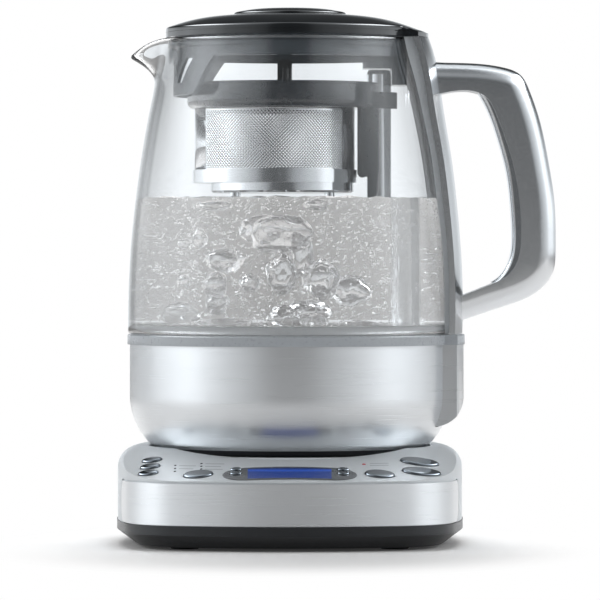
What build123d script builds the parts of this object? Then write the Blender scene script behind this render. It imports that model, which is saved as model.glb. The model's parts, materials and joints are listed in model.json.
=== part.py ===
from build123d import *
from math import cos, radians, sin, sqrt, tan
import os

# Automatic tea maker: a glass jug with a lifting tea basket on a heated, powered base.
# Millimetres. Z is up from the table, the jug's axis is x = 0, y = 0, the control panel
# faces -Y, the handle is on +X and the spout on -X.

os.makedirs("parts", exist_ok=True)

# ---------------------------------------------------------------- driving dimensions
# Base plan: four bowed sides joined by round corners
BASE_HALF_WIDTH = 84.0
BASE_FRONT_Y = -98.0
BASE_BACK_Y = 88.0
BOW_CENTRE_Y = 52.0
BOW_RADIUS = BOW_CENTRE_Y - BASE_FRONT_Y
BACK_BOW_RADIUS = 184.0
SIDE_BOW_RADIUS = 290.0
WIDEST_Y = -3.0
BASE_CORNER_RADIUS = 38.0

# Base heights
FEET_HEIGHT = 1.5
HOUSING_TOP_Z = 12.0
HOUSING_CHAMFER_RISE = 6.0
HOUSING_CHAMFER_RUN = 8.0
HOUSING_PROUD = 0.4
HOUSING_FLOOR = 2.5
PLATE_BOTTOM_Z = 12.3
PLATE_TOP_Z = 32.1
PLATE_RECESS_TOP_Z = 32.9
PLATE_THICKNESS = 0.8
PLATE_END_Y = -44.0
PLATE_END_RADIUS = 7.0
PANEL_EDGE_Z = 33.4
PANEL_SLOPE = 18.0
PLATEAU_Z = 47.0
PLATEAU_ROUND = 10.0
WELL_FLOOR_Z = 43.5
WELL_RADIUS = 69.0
COVER_WALL = 2.2

# Control panel
KEY_GAP = 0.3
KEY_PROUD = 1.0
KEY_TRAVEL = 0.8
KEY_SKIRT_DEPTH = 3.7
BOARD_DEPTH = 14.0
BOARD_THICKNESS = 1.6
SWITCH_GAP = 0.3
SWITCH_HEIGHT = 3.2
CUT_BELOW_PANEL = 8.0
CUT_HEIGHT = 12.0
KEY_STEM_RADIUS = 1.4
SWITCH_SIDE = 4.5
SWITCH_BUTTON_RADIUS = 1.2
SWITCH_BUTTON_RISE = 0.8
PILL_LENGTH = 63.5
PILL_WIDTH = 16.4
PILL_REACH = 139.0
LCD_LENGTH = 39.6
LCD_WIDTH = 13.4

# Jug
JUG_FOOT_Z = 44.0
CUP_BOTTOM_Z = 46.5
CUP_TOP_Z = 96.5
CUP_RADIUS = 78.4
CUP_WALL = 0.8
CUP_BEND_Z = 71.5
CUP_BEND_RADIUS = 33.0
BULGE_RADIUS = 85.0
BULGE_HALF_WIDTH = 26.0
RING_TOP_Z = 101.5
RING_RADIUS = 79.6
RING_BULGE_RADIUS = 85.6
GLASS_WALL = 2.8
RIM_Z = 246.0
RIM_RADIUS = 60.9
HEATER_Z = 101.5
HEATER_THICKNESS = 1.6
HEATER_RADIUS = 73.6
PROBE_X = -35.0

# Handle
SPINE_HALF_WIDTH = 27.0
SPINE_THICKNESS = 2.8
HANDLE_HALF_WIDTH = 13.0

# Lift post and drive
POST_X = 43.6
POST_RADIUS = 6.0
POST_BORE = 5.4
POST_TOP_Z = 230.4
POST_BOTTOM_Z = 75.5
SCREW_RADIUS = 3.0
SCREW_CORE_RADIUS = 2.3
THREAD_PITCH = 4.0
SCREW_BOTTOM_Z = 84.0
SCREW_TOP_Z = 220.0
CARRIAGE_BOTTOM_Z = 184.0
CARRIAGE_LENGTH = 16.0
RUNNING_GAP = 0.05
MOTOR_RADIUS = 12.0
MOTOR_TOP_Z = 72.5
MOTOR_BOTTOM_Z = 50.5
SHAFT_RADIUS = 1.2

# Lid
LID_BOTTOM_Z = 246.3
LID_RADIUS = 60.8
LID_TAIL_RADIUS = 67.8
LID_TAIL_HALF_WIDTH = 27.0
LID_GROOVE_Z = 248.4
LID_GROOVE_HEIGHT = 0.5
LID_SHELL = 2.4
KNOB_RADIUS = 27.5
KNOB_BASE_Z = 256.0
KNOB_TOP_Z = 261.0
SKIRT_RADIUS = 57.3
SKIRT_WALL = 1.8
SKIRT_BOTTOM_Z = 235.8
BEAD_BOTTOM_Z = 240.0
BEAD_HEIGHT = 0.5
STRAINER_BOTTOM_Z = 217.6

# Tea basket
RIM_CENTRE_X = -3.7
BASKET_RIM_RADIUS = 47.3
BASKET_RIM_TOP_Z = 224.0
BASKET_RIM_BOTTOM_Z = 211.5
BASKET_RIM_WALL = 2.0
MESH_CENTRE_X = -7.5
MESH_RADIUS = 39.4
MESH_WALL = 0.5
MESH_BOTTOM_Z = 176.0
BAND_HEIGHT = 6.2
BAND_WALL = 0.8
DISH_CENTRE_X = -3.8
DISH_RADIUS = 35.0
DISH_BOTTOM_Z = 170.4
SLIDER_LEFT_X = 32.9
SLIDER_HALF_WIDTH = 10.5
SLIDER_GAP = 0.3
SLIDER_BOTTOM_Z = 177.0
COLLAR_RADIUS = 9.0
COLLAR_BOTTOM_Z = 211.5
COLLAR_TOP_Z = 219.5
RIM_FOOT_ROUND = 3.5
PRONG_LEFT_X = 37.7
PRONG_HALF_WIDTH = 9.0
PRONG_BOTTOM_Z = 168.5
MAGNET_X = 35.6
MAGNET_THICKNESS = 2.2
MAGNET_WIDTH = 8.0
DISH_FOOT = 2.4
BASKET_LID_Z = 217.0
BASKET_LID_THICKNESS = 1.6
BASKET_KNOB_X = -2.6
BASKET_KNOB_TOP_Z = 235.7
BASKET_KNOB_RADIUS = 3.65
BASKET_KNOB_FOOT_RADIUS = 6.0
BASKET_KNOB_FOOT_HEIGHT = 1.4
LEG_BOTTOM_Z = 223.0
LEG_INNER_RADIUS = 50.4
LEG_HALF_WIDTH = 9.5

# ---------------------------------------------------------------- shared helpers
JUG_AXIS = Axis((0, 0, 0), (0, 0, 1))
BOW_AXIS = Axis((0, BOW_CENTRE_Y, 0), (0, 0, 1))
SECTION = Plane((0, 0, 0), x_dir=(1, 0, 0), z_dir=(0, -1, 0))
BOW_SECTION = Plane((0, BOW_CENTRE_Y, 0), x_dir=(1, 0, 0), z_dir=(0, -1, 0))
PANEL_NORMAL = Vector(0, -sin(radians(PANEL_SLOPE)), cos(radians(PANEL_SLOPE)))
PANEL = Plane((0, BASE_FRONT_Y, PANEL_EDGE_Z), x_dir=(1, 0, 0), z_dir=PANEL_NORMAL)


def save(builder, name):
    """Label a finished piece and write its STEP file."""
    builder.part.label = name
    export_step(builder.part, f"parts/{name}.step")


def level(height):
    """A horizontal sketch plane at a height above the table."""
    return Plane.XY.offset(height)


def base_outline(inset):
    """The base's plan, shrunk by inset: four big discs overlap, and their corners are rounded."""
    with BuildSketch(mode=Mode.PRIVATE) as outline:
        with Locations((0, BOW_CENTRE_Y)):
            Circle(BOW_RADIUS - inset)
        with Locations((0, BASE_BACK_Y - BACK_BOW_RADIUS)):
            Circle(BACK_BOW_RADIUS - inset, mode=Mode.INTERSECT)
        for side in (-1, 1):
            with Locations((side * (BASE_HALF_WIDTH - SIDE_BOW_RADIUS), WIDEST_Y)):
                Circle(SIDE_BOW_RADIUS - inset, mode=Mode.INTERSECT)
        fillet(outline.vertices(), radius=BASE_CORNER_RADIUS - inset)
    return outline.sketch


def above_panel(rise):
    """Everything above the control panel's sloped ring, raised by rise."""
    inner, outer, top = 60.0, 190.0, 80.0
    lift = PANEL_EDGE_Z + rise / cos(radians(PANEL_SLOPE))
    slope = tan(radians(PANEL_SLOPE))
    with BuildPart(mode=Mode.PRIVATE) as cutter:
        with BuildSketch(BOW_SECTION):
            with BuildLine():
                Polyline(
                    (inner, lift + (BOW_RADIUS - inner) * slope),
                    (outer, lift + (BOW_RADIUS - outer) * slope),
                    (outer, top),
                    (inner, top),
                    close=True,
                )
            make_face()
        revolve(axis=BOW_AXIS)
    return cutter.part


def cover_form(inset):
    """The base cover's outer shape, or its hollow when inset is the wall."""
    with BuildPart(mode=Mode.PRIVATE) as form:
        with BuildSketch(level(HOUSING_TOP_Z)):
            add(base_outline(inset))
        extrude(amount=PLATEAU_Z - inset - HOUSING_TOP_Z)
        fillet(form.faces().sort_by(Axis.Z)[-1].edges(), radius=PLATEAU_ROUND - inset)
        add(above_panel(-inset), mode=Mode.SUBTRACT)
        with BuildSketch(level(WELL_FLOOR_Z - inset)):
            Circle(WELL_RADIUS + inset)
        extrude(amount=PLATEAU_Z, mode=Mode.SUBTRACT)
        if not inset:
            with BuildSketch(level(HOUSING_TOP_Z)):
                Circle(WELL_RADIUS)
            extrude(amount=WELL_FLOOR_Z - HOUSING_TOP_Z)
    return form.part


def panel_spot(x, reach):
    """A point on the panel's surface in the panel plane's own coordinates.

    reach is the distance from the centre of the front's bow."""
    y = BOW_CENTRE_Y - sqrt(reach**2 - x**2)
    z = PANEL_EDGE_Z + (BOW_RADIUS - reach) * tan(radians(PANEL_SLOPE))
    return PANEL.to_local_coords(Vector(x, y, z))


# Every key: its name, place (x and reach), length, width and turn in degrees
KEYS = [
    ("strength_key", -66.0, 124.6, 9.9, 6.6, -8),
    ("heat_key", -66.6, 132.9, 9.9, 6.6, -8),
    ("clock_key", -67.2, 141.2, 9.9, 6.6, -8),
    ("tea_type_key", -43.3, 141.6, 14.2, 9.6, -4),
    ("temperature_up_key", -25.4, 135.1, 5.6, 3.8, 0),
    ("temperature_down_key", -25.4, 140.2, 5.6, 3.8, 0),
    ("time_up_key", 25.4, 135.1, 5.6, 3.8, 0),
    ("time_down_key", 25.4, 140.2, 5.6, 3.8, 0),
    ("auto_start_key", 42.6, 141.2, 14.2, 9.6, 4),
    ("kettle_key", 62.0, 126.6, 18.8, 10.4, 8),
    ("tea_key", 62.6, 139.2, 18.8, 10.4, 8),
]

# Round light pipes: place and radius
LIGHTS = [
    (-54.5, 130.4, 0.6),
    (-54.5, 134.2, 0.6),
    (-54.5, 138.0, 0.6),
    (-42.0, 127.4, 0.6),
    (-42.0, 130.9, 0.6),
    (-42.0, 134.4, 0.6),
    (35.3, 128.0, 0.9),
]


def key_shaft(spec, grow, bottom, height):
    """A key-shaped prism along the panel's normal, bottom measured from the panel's surface."""
    _, x, reach, length, width, turn = spec
    spot = panel_spot(x, reach)
    with BuildPart(mode=Mode.PRIVATE) as shaft:
        with BuildSketch(PANEL.offset(spot.Z + bottom)):
            with Locations(Location((spot.X, spot.Y), turn)):
                Ellipse(length / 2 + grow, width / 2 + grow)
        extrude(amount=height)
    return shaft.part


def pill_outline(grow):
    """The display surround: straight in the middle, with long oval ends."""
    spot = panel_spot(0, PILL_REACH)
    end = (PILL_LENGTH - LCD_LENGTH) / 2
    with BuildSketch(mode=Mode.PRIVATE) as outline:
        with Locations((0, spot.Y)):
            Rectangle(LCD_LENGTH, PILL_WIDTH + 2 * grow)
        for side in (-1, 1):
            with Locations((side * LCD_LENGTH / 2, spot.Y)):
                Ellipse(end + grow, PILL_WIDTH / 2 + grow)
    return outline.sketch


def turned(points, axis_x=0.0):
    """A ring of revolution about a vertical axis from a closed outline of straight lines."""
    section = Plane((axis_x, 0, 0), x_dir=(1, 0, 0), z_dir=(0, -1, 0))
    with BuildPart(mode=Mode.PRIVATE) as ring:
        with BuildSketch(section):
            with BuildLine():
                Polyline(*points, close=True)
            make_face()
        revolve(axis=Axis((axis_x, 0, 0), (0, 0, 1)))
    return ring.part


def tube(outer, inner, bottom, top, axis_x=0.0):
    """A straight upright tube."""
    return turned([(inner, bottom), (outer, bottom), (outer, top), (inner, top)], axis_x)


# ---------------------------------------------------------------- base casing
BASE_SCREWS = [(-56, -39), (56, -39), (-56, 56), (56, 56)]
SCREW_BOSS_RADIUS = 4.5
SCREW_SHANK_RADIUS = 1.5
SCREW_HEAD_RADIUS = 3.0
SCREW_HEAD_BOTTOM_Z = 3.6
SCREW_HEAD_HEIGHT = 2.0
SCREW_SHANK_TOP_Z = 26.0
SCREW_SLOT_LENGTH = 3.4
SCREW_SLOT_WIDTH = 0.8
SCREW_SLOT_DEPTH = 1.1
GLAND_X = 0.0
GLAND_Z = 20.0
GLAND_RADIUS = 6.0
CORD_BORE_RADIUS = 3.6
SOCKET_HOLE_RADIUS = 18.0
BOARD_POSTS = [(-34, 32), (0, 36), (34, 32)]
BOARD_POST_RADIUS = 2.5
POWER_BOARD_Z = 14.0
POWER_BOARD_Y = 46.0
POWER_BOARD_POSTS = [(-42, 28), (42, 28), (-42, 64), (42, 64)]
POWER_POST_RADIUS = 3.0
POWER_BOARD_LENGTH = 92.0
POWER_BOARD_WIDTH = 46.0
FEET_PLACES = [(-50, -62), (50, -62), (-50, 66), (50, 66), (0, 0)]
FOOT_RADIUS = 7.0
FOOT_SEAT = 1.5
PROBE_RADIUS = 3.0


def front_band(outer_inset, inner_inset, bottom, top, end_y, end_radius):
    """A thin wall that wraps the front of the base, its ends rounded at the top."""
    with BuildPart(mode=Mode.PRIVATE) as band:
        with BuildSketch(level(bottom)):
            add(base_outline(outer_inset))
            add(base_outline(inner_inset), mode=Mode.SUBTRACT)
        extrude(amount=top - bottom)
        with BuildSketch(Plane.YZ.offset(-BASE_HALF_WIDTH - 20)) as side:
            with Locations((end_y, bottom)):
                Rectangle(120, top - bottom, align=(Align.MAX, Align.MIN))
            fillet(side.vertices().group_by(Axis.X)[-1], radius=end_radius)
        extrude(amount=2 * BASE_HALF_WIDTH + 40, mode=Mode.INTERSECT)
    return band.part


# posts for the control board and bosses for the screws, closed at the top by the cover
with BuildPart() as cover_posts:
    with BuildSketch(PANEL.offset(-BOARD_DEPTH)):
        with Locations(*BOARD_POSTS):
            Circle(BOARD_POST_RADIUS)
    extrude(amount=BOARD_DEPTH + 10)
    with BuildSketch(level(HOUSING_TOP_Z)):
        with Locations(*BASE_SCREWS):
            Circle(SCREW_BOSS_RADIUS)
    extrude(amount=PLATEAU_Z)
    add(cover_form(COVER_WALL - 0.5), mode=Mode.INTERSECT)

with BuildPart() as base_top_cover:
    add(cover_form(0))
    add(cover_form(COVER_WALL), mode=Mode.SUBTRACT)
    # backing for the steel plate's recess
    with BuildSketch(level(HOUSING_TOP_Z)):
        add(base_outline(COVER_WALL))
        add(base_outline(COVER_WALL + 1.0), mode=Mode.SUBTRACT)
    extrude(amount=PLATE_RECESS_TOP_Z - 3 - HOUSING_TOP_Z)
    add(
        front_band(
            0, PLATE_THICKNESS, HOUSING_TOP_Z, PLATE_RECESS_TOP_Z, PLATE_END_Y + 0.8, PLATE_END_RADIUS + 0.8
        ),
        mode=Mode.SUBTRACT,
    )
    add(cover_posts.part)
    with BuildSketch(level(HOUSING_TOP_Z)):
        with Locations(*BASE_SCREWS):
            Circle(SCREW_SHANK_RADIUS)
    extrude(amount=SCREW_SHANK_TOP_Z - HOUSING_TOP_Z, mode=Mode.SUBTRACT)
    # hole for the power socket
    with BuildSketch(level(WELL_FLOOR_Z - 2 * COVER_WALL)):
        Circle(SOCKET_HOLE_RADIUS)
    extrude(amount=3 * COVER_WALL, mode=Mode.SUBTRACT)
    # hole for the cord gland
    with BuildSketch(Plane((GLAND_X, BASE_BACK_Y - 10, GLAND_Z), x_dir=(-1, 0, 0), z_dir=(0, 1, 0))):
        Circle(GLAND_RADIUS)
    extrude(amount=20, mode=Mode.SUBTRACT)
    # key, display and light openings
    for key in KEYS:
        add(key_shaft(key, KEY_GAP, -CUT_BELOW_PANEL, CUT_HEIGHT), mode=Mode.SUBTRACT)
    with BuildSketch(PANEL.offset(-8)):
        add(pill_outline(0))
    extrude(amount=14, mode=Mode.SUBTRACT)
    for x, reach, radius in LIGHTS:
        place = panel_spot(x, reach)
        with BuildSketch(PANEL.offset(place.Z - CUT_BELOW_PANEL)):
            with Locations((place.X, place.Y)):
                Circle(radius)
        extrude(amount=CUT_HEIGHT, mode=Mode.SUBTRACT)
save(base_top_cover, "base_top_cover")

with BuildPart() as base_front_plate:
    add(front_band(0, PLATE_THICKNESS, PLATE_BOTTOM_Z, PLATE_TOP_Z, PLATE_END_Y, PLATE_END_RADIUS))
save(base_front_plate, "base_front_plate")

LOWER_CHAMFER_EDGE = HOUSING_TOP_Z - FEET_HEIGHT

with BuildPart() as base_lower_housing:
    with BuildSketch(level(FEET_HEIGHT)):
        add(base_outline(-HOUSING_PROUD))
    extrude(amount=LOWER_CHAMFER_EDGE)
    bottom_edges = base_lower_housing.faces().sort_by(Axis.Z)[0].edges()
    chamfer(bottom_edges, length=HOUSING_CHAMFER_RISE, length2=HOUSING_CHAMFER_RUN)
    with BuildSketch(level(FEET_HEIGHT + HOUSING_FLOOR)):
        add(base_outline(HOUSING_CHAMFER_RUN + 2))
    extrude(amount=LOWER_CHAMFER_EDGE, mode=Mode.SUBTRACT)
    with BuildSketch(level(HOUSING_TOP_Z - 4)):
        add(base_outline(COVER_WALL + 1))
    extrude(amount=LOWER_CHAMFER_EDGE, mode=Mode.SUBTRACT)
    # screw towers
    with BuildSketch(level(FEET_HEIGHT + 1)):
        with Locations(*BASE_SCREWS):
            Circle(SCREW_BOSS_RADIUS)
    extrude(amount=HOUSING_TOP_Z - FEET_HEIGHT - 1)
    with BuildSketch(level(0)):
        with Locations(*BASE_SCREWS):
            Circle(SCREW_SHANK_RADIUS)
    extrude(amount=HOUSING_TOP_Z + 1, mode=Mode.SUBTRACT)
    with BuildSketch(level(0)):
        with Locations(*BASE_SCREWS):
            Circle(SCREW_HEAD_RADIUS)
    extrude(amount=SCREW_HEAD_BOTTOM_Z + SCREW_HEAD_HEIGHT, mode=Mode.SUBTRACT)
    # posts under the power board
    with BuildSketch(level(FEET_HEIGHT + 1)):
        with Locations(*POWER_BOARD_POSTS):
            Circle(POWER_POST_RADIUS)
    extrude(amount=POWER_BOARD_Z - FEET_HEIGHT - 1)
    # seats for the rubber feet
    with BuildSketch(level(0)):
        with Locations(*FEET_PLACES):
            Circle(FOOT_RADIUS)
    extrude(amount=FEET_HEIGHT + FOOT_SEAT, mode=Mode.SUBTRACT)
save(base_lower_housing, "base_lower_housing")

with BuildPart() as rubber_feet:
    with BuildSketch(level(0)):
        with Locations(*FEET_PLACES):
            Circle(FOOT_RADIUS)
    extrude(amount=FEET_HEIGHT + FOOT_SEAT)
    chamfer(rubber_feet.faces().group_by(Axis.Z)[0].edges(), length=0.6)
save(rubber_feet, "rubber_feet")

with BuildPart() as base_screws:
    with BuildSketch(level(SCREW_HEAD_BOTTOM_Z)):
        with Locations(*BASE_SCREWS):
            Circle(SCREW_HEAD_RADIUS)
    extrude(amount=SCREW_HEAD_HEIGHT)
    with BuildSketch(level(SCREW_HEAD_BOTTOM_Z)):
        with Locations(*BASE_SCREWS):
            Circle(SCREW_SHANK_RADIUS)
    extrude(amount=SCREW_SHANK_TOP_Z - SCREW_HEAD_BOTTOM_Z)
    with BuildSketch(level(SCREW_HEAD_BOTTOM_Z)):
        with Locations(*BASE_SCREWS):
            Rectangle(SCREW_SLOT_LENGTH, SCREW_SLOT_WIDTH)
            Rectangle(SCREW_SLOT_WIDTH, SCREW_SLOT_LENGTH)
    extrude(amount=SCREW_SLOT_DEPTH, mode=Mode.SUBTRACT)
save(base_screws, "base_screws")

GLAND_WALL_Y = 86.0
GLAND_LENGTH = 11.0
GLAND_FLANGE_RADIUS = GLAND_RADIUS + 1.8
GLAND_OUTER_FLANGE = 1.6
GLAND_INNER_FLANGE = 3.0
with BuildPart() as cord_gland:
    gland_plane = Plane((GLAND_X, GLAND_WALL_Y - 7, GLAND_Z), x_dir=(-1, 0, 0), z_dir=(0, 1, 0))
    with BuildSketch(gland_plane):
        Circle(GLAND_RADIUS)
    extrude(amount=GLAND_LENGTH)
    with BuildSketch(gland_plane.offset(GLAND_LENGTH - GLAND_OUTER_FLANGE)):
        Circle(GLAND_FLANGE_RADIUS)
    extrude(amount=GLAND_OUTER_FLANGE)
    with BuildSketch(gland_plane.offset(1.0)):
        Circle(GLAND_FLANGE_RADIUS)
    extrude(amount=GLAND_INNER_FLANGE)
    with BuildSketch(gland_plane):
        Circle(CORD_BORE_RADIUS)
    extrude(amount=GLAND_LENGTH, mode=Mode.SUBTRACT)
save(cord_gland, "cord_gland")

# ---------------------------------------------------------------- power socket under the jug
# The socket and the jug's connector are round, so the jug can be set down at any angle.
SOCKET_COLLAR_OUTER = 13.0
SOCKET_COLLAR_INNER = 10.6
SOCKET_COLLAR_TOP_Z = 51.0
SOCKET_FLOOR_Z = WELL_FLOOR_Z
SOCKET_BOTTOM_Z = 34.0
RING_GROOVE_FLOOR_Z = 40.0
PIN_HOLE_FLOOR_Z = 38.0
PIN_TOP_Z = 48.0
CONTACT_RING_OUTER = 7.6
CONTACT_RING_INNER = 6.0
CONTACT_PIN_RADIUS = 1.8

with BuildPart() as base_socket:
    add(
        turned(
            [
                (0, SOCKET_BOTTOM_Z),
                (SOCKET_HOLE_RADIUS - 2, SOCKET_BOTTOM_Z),
                (SOCKET_HOLE_RADIUS - 2, 39.0),
                (SOCKET_HOLE_RADIUS + 3, 39.0),
                (SOCKET_HOLE_RADIUS + 3, WELL_FLOOR_Z - COVER_WALL),
                (SOCKET_HOLE_RADIUS, WELL_FLOOR_Z - COVER_WALL),
                (SOCKET_HOLE_RADIUS, SOCKET_FLOOR_Z),
                (SOCKET_COLLAR_OUTER, SOCKET_FLOOR_Z),
                (SOCKET_COLLAR_OUTER, SOCKET_COLLAR_TOP_Z),
                (SOCKET_COLLAR_INNER, SOCKET_COLLAR_TOP_Z),
                (SOCKET_COLLAR_INNER, SOCKET_FLOOR_Z),
                (CONTACT_RING_OUTER, SOCKET_FLOOR_Z),
                (CONTACT_RING_OUTER, RING_GROOVE_FLOOR_Z),
                (CONTACT_RING_INNER, RING_GROOVE_FLOOR_Z),
                (CONTACT_RING_INNER, SOCKET_FLOOR_Z),
                (CONTACT_PIN_RADIUS, SOCKET_FLOOR_Z),
                (CONTACT_PIN_RADIUS, PIN_HOLE_FLOOR_Z),
                (0, PIN_HOLE_FLOOR_Z),
            ]
        )
    )
save(base_socket, "base_socket")

with BuildPart() as socket_contacts:
    add(tube(CONTACT_RING_OUTER, CONTACT_RING_INNER, RING_GROOVE_FLOOR_Z, SOCKET_FLOOR_Z + 0.6))
    with BuildSketch(level(PIN_HOLE_FLOOR_Z)):
        Circle(CONTACT_PIN_RADIUS)
    extrude(amount=PIN_TOP_Z - PIN_HOLE_FLOOR_Z)
    chamfer(socket_contacts.faces().sort_by(Axis.Z)[-1].edges(), length=0.5)
save(socket_contacts, "socket_contacts")

# ---------------------------------------------------------------- boards and electrics in the base
with BuildPart() as power_board:
    with BuildSketch(level(POWER_BOARD_Z)):
        with Locations((0, POWER_BOARD_Y)):
            Rectangle(POWER_BOARD_LENGTH, POWER_BOARD_WIDTH)
    extrude(amount=BOARD_THICKNESS)
save(power_board, "power_board")

BOARD_TOP_Z = POWER_BOARD_Z + BOARD_THICKNESS
TRANSFORMER_X = -24.0
TRANSFORMER_FOOT = 5.0
RELAY_LENGTH = 19.0
RELAY_WIDTH = 15.5
RELAY_HEIGHT = 15.3

with BuildPart() as transformer:
    with BuildSketch(level(BOARD_TOP_Z)):
        with Locations((TRANSFORMER_X, POWER_BOARD_Y)):
            Rectangle(30, 26)
    extrude(amount=TRANSFORMER_FOOT)
    with BuildSketch(level(BOARD_TOP_Z + TRANSFORMER_FOOT)):
        with Locations((TRANSFORMER_X, POWER_BOARD_Y)):
            Rectangle(32, 12)
    extrude(amount=16)
    with BuildSketch(level(BOARD_TOP_Z + TRANSFORMER_FOOT)):
        with Locations((TRANSFORMER_X, POWER_BOARD_Y)):
            RectangleRounded(22, 24, 4)
    extrude(amount=12)
save(transformer, "transformer")

with BuildPart() as heater_relay:
    with BuildSketch(level(BOARD_TOP_Z)):
        with Locations((18, POWER_BOARD_Y + 8)):
            Rectangle(RELAY_LENGTH, RELAY_WIDTH)
    extrude(amount=RELAY_HEIGHT)
    fillet(heater_relay.edges().filter_by(Axis.Z), radius=0.8)
save(heater_relay, "heater_relay")

with BuildPart() as control_board:
    with BuildSketch(PANEL.offset(-BOARD_DEPTH - BOARD_THICKNESS)):
        with Locations((0, 24)):
            Rectangle(2 * BASE_HALF_WIDTH, 43)
    extrude(amount=BOARD_THICKNESS)
    with BuildSketch(level(0)):
        add(base_outline(COVER_WALL + 2.5))
    extrude(amount=PLATEAU_Z, mode=Mode.INTERSECT)
save(control_board, "control_board")

with BuildPart() as tact_switches:
    for key in KEYS:
        spot = panel_spot(key[1], key[2])
        with BuildSketch(PANEL.offset(-BOARD_DEPTH)):
            with Locations((spot.X, spot.Y)):
                Rectangle(SWITCH_SIDE, SWITCH_SIDE)
        extrude(amount=SWITCH_HEIGHT - SWITCH_BUTTON_RISE)
        with BuildSketch(PANEL.offset(-BOARD_DEPTH)):
            with Locations((spot.X, spot.Y)):
                Circle(SWITCH_BUTTON_RADIUS)
        extrude(amount=SWITCH_HEIGHT)
save(tact_switches, "tact_switches")

# ---------------------------------------------------------------- display and keys
with BuildPart() as display_surround:
    with BuildSketch(PANEL.offset(-6)):
        add(pill_outline(0))
    extrude(amount=12)
    with BuildSketch(PANEL.offset(-6)):
        add(pill_outline(1.2))
    extrude(amount=1.2)
    add(above_panel(0.3), mode=Mode.SUBTRACT)
    with BuildSketch(PANEL.offset(-6)):
        with Locations((0, panel_spot(0, PILL_REACH).Y)):
            Rectangle(LCD_LENGTH, LCD_WIDTH)
    extrude(amount=14, mode=Mode.SUBTRACT)
    # room for the wall behind the steel plate
    with BuildSketch(level(HOUSING_TOP_Z)):
        add(base_outline(0))
        add(base_outline(COVER_WALL + 1.3), mode=Mode.SUBTRACT)
    extrude(amount=PLATE_RECESS_TOP_Z - 2.7 - HOUSING_TOP_Z, mode=Mode.SUBTRACT)
    for key in KEYS[4:8]:
        add(key_shaft(key, KEY_GAP, -CUT_BELOW_PANEL, CUT_HEIGHT), mode=Mode.SUBTRACT)
save(display_surround, "display_surround")

with BuildPart() as display_window:
    with BuildSketch(PANEL.offset(-2.0)):
        with Locations((0, panel_spot(0, PILL_REACH).Y)):
            Rectangle(LCD_LENGTH, LCD_WIDTH)
    extrude(amount=6)
    add(above_panel(0.2), mode=Mode.SUBTRACT)
save(display_window, "display_window")

with BuildPart() as display_module:
    with BuildSketch(PANEL.offset(-BOARD_DEPTH)):
        with Locations((0, panel_spot(0, PILL_REACH).Y)):
            Rectangle(LCD_LENGTH - 2, LCD_WIDTH - 1)
    extrude(amount=BOARD_DEPTH - 2.0)
save(display_module, "display_module")

with BuildPart() as indicator_lights:
    for x, reach, radius in LIGHTS:
        place = panel_spot(x, reach)
        with BuildSketch(PANEL.offset(-BOARD_DEPTH)):
            with Locations((place.X, place.Y)):
                Circle(radius)
        extrude(amount=BOARD_DEPTH + 6)
    add(above_panel(0.15), mode=Mode.SUBTRACT)
save(indicator_lights, "indicator_lights")


def make_key(spec):
    """A sprung key: domed face, a skirt down past the cover, and a stem down to its switch."""
    name, x, reach, length, width, turn = spec
    spot = panel_spot(x, reach)
    with BuildPart() as key:
        add(key_shaft(spec, 0, -KEY_SKIRT_DEPTH, KEY_SKIRT_DEPTH + 6))
        add(above_panel(KEY_PROUD), mode=Mode.SUBTRACT)
        top = key.faces().sort_by(SortBy.AREA)
        crown = [face for face in top if face.normal_at().dot(PANEL_NORMAL) > 0.9][-1]
        fillet(crown.edges(), radius=min(KEY_PROUD - 0.1, width / 6))
        stem_bottom = -BOARD_DEPTH + SWITCH_HEIGHT + KEY_TRAVEL + SWITCH_GAP
        with BuildSketch(PANEL.offset(stem_bottom)):
            with Locations((spot.X, spot.Y)):
                Circle(KEY_STEM_RADIUS)
        extrude(amount=spot.Z - KEY_SKIRT_DEPTH - stem_bottom)
    return key


for key_spec in KEYS:
    save(make_key(key_spec), key_spec[0])

# ---------------------------------------------------------------- jug base
BEND_CENTRE_X = CUP_RADIUS - CUP_BEND_RADIUS


def bend_point(radius, height):
    """A point on the cup's rounded foot at a height, for a bend of the given radius."""
    return (BEND_CENTRE_X + sqrt(radius**2 - (CUP_BEND_Z - height) ** 2), height)


def cup_form(inset, bottom):
    """The steel cup's shape down to bottom, with the bulge that carries the handle."""
    bend = CUP_BEND_RADIUS - inset
    foot = bend_point(bend, bottom)
    middle = bend_point(bend, (CUP_BEND_Z + bottom) / 2)
    half_width = BULGE_HALF_WIDTH - inset
    outer = BULGE_RADIUS - inset
    with BuildPart(mode=Mode.PRIVATE) as form:
        with BuildSketch(SECTION):
            with BuildLine():
                Polyline((0, bottom), foot)
                ThreePointArc(foot, middle, (CUP_RADIUS - inset, CUP_BEND_Z))
                Polyline(
                    (CUP_RADIUS - inset, CUP_BEND_Z),
                    (CUP_RADIUS - inset, CUP_TOP_Z),
                    (0, CUP_TOP_Z),
                    (0, bottom),
                )
            make_face()
        revolve(axis=JUG_AXIS)
        with BuildSketch(Plane.XZ.offset(-half_width)):
            with BuildLine():
                Polyline((60, 57), (72, 57 - inset / 2))
                ThreePointArc((72, 57 - inset / 2), (81.2 - inset, 62.2), (outer, 71))
                Polyline((outer, 71), (outer, CUP_TOP_Z), (60, CUP_TOP_Z), (60, 57))
            make_face()
        extrude(amount=2 * half_width)
        with BuildSketch(level(bottom)):
            Circle(outer)
        extrude(amount=CUP_TOP_Z - bottom, mode=Mode.INTERSECT)
    return form.part


with BuildPart() as steel_cup:
    add(cup_form(0, CUP_BOTTOM_Z))
    add(cup_form(CUP_WALL, CUP_BOTTOM_Z), mode=Mode.SUBTRACT)
save(steel_cup, "steel_cup")

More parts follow.
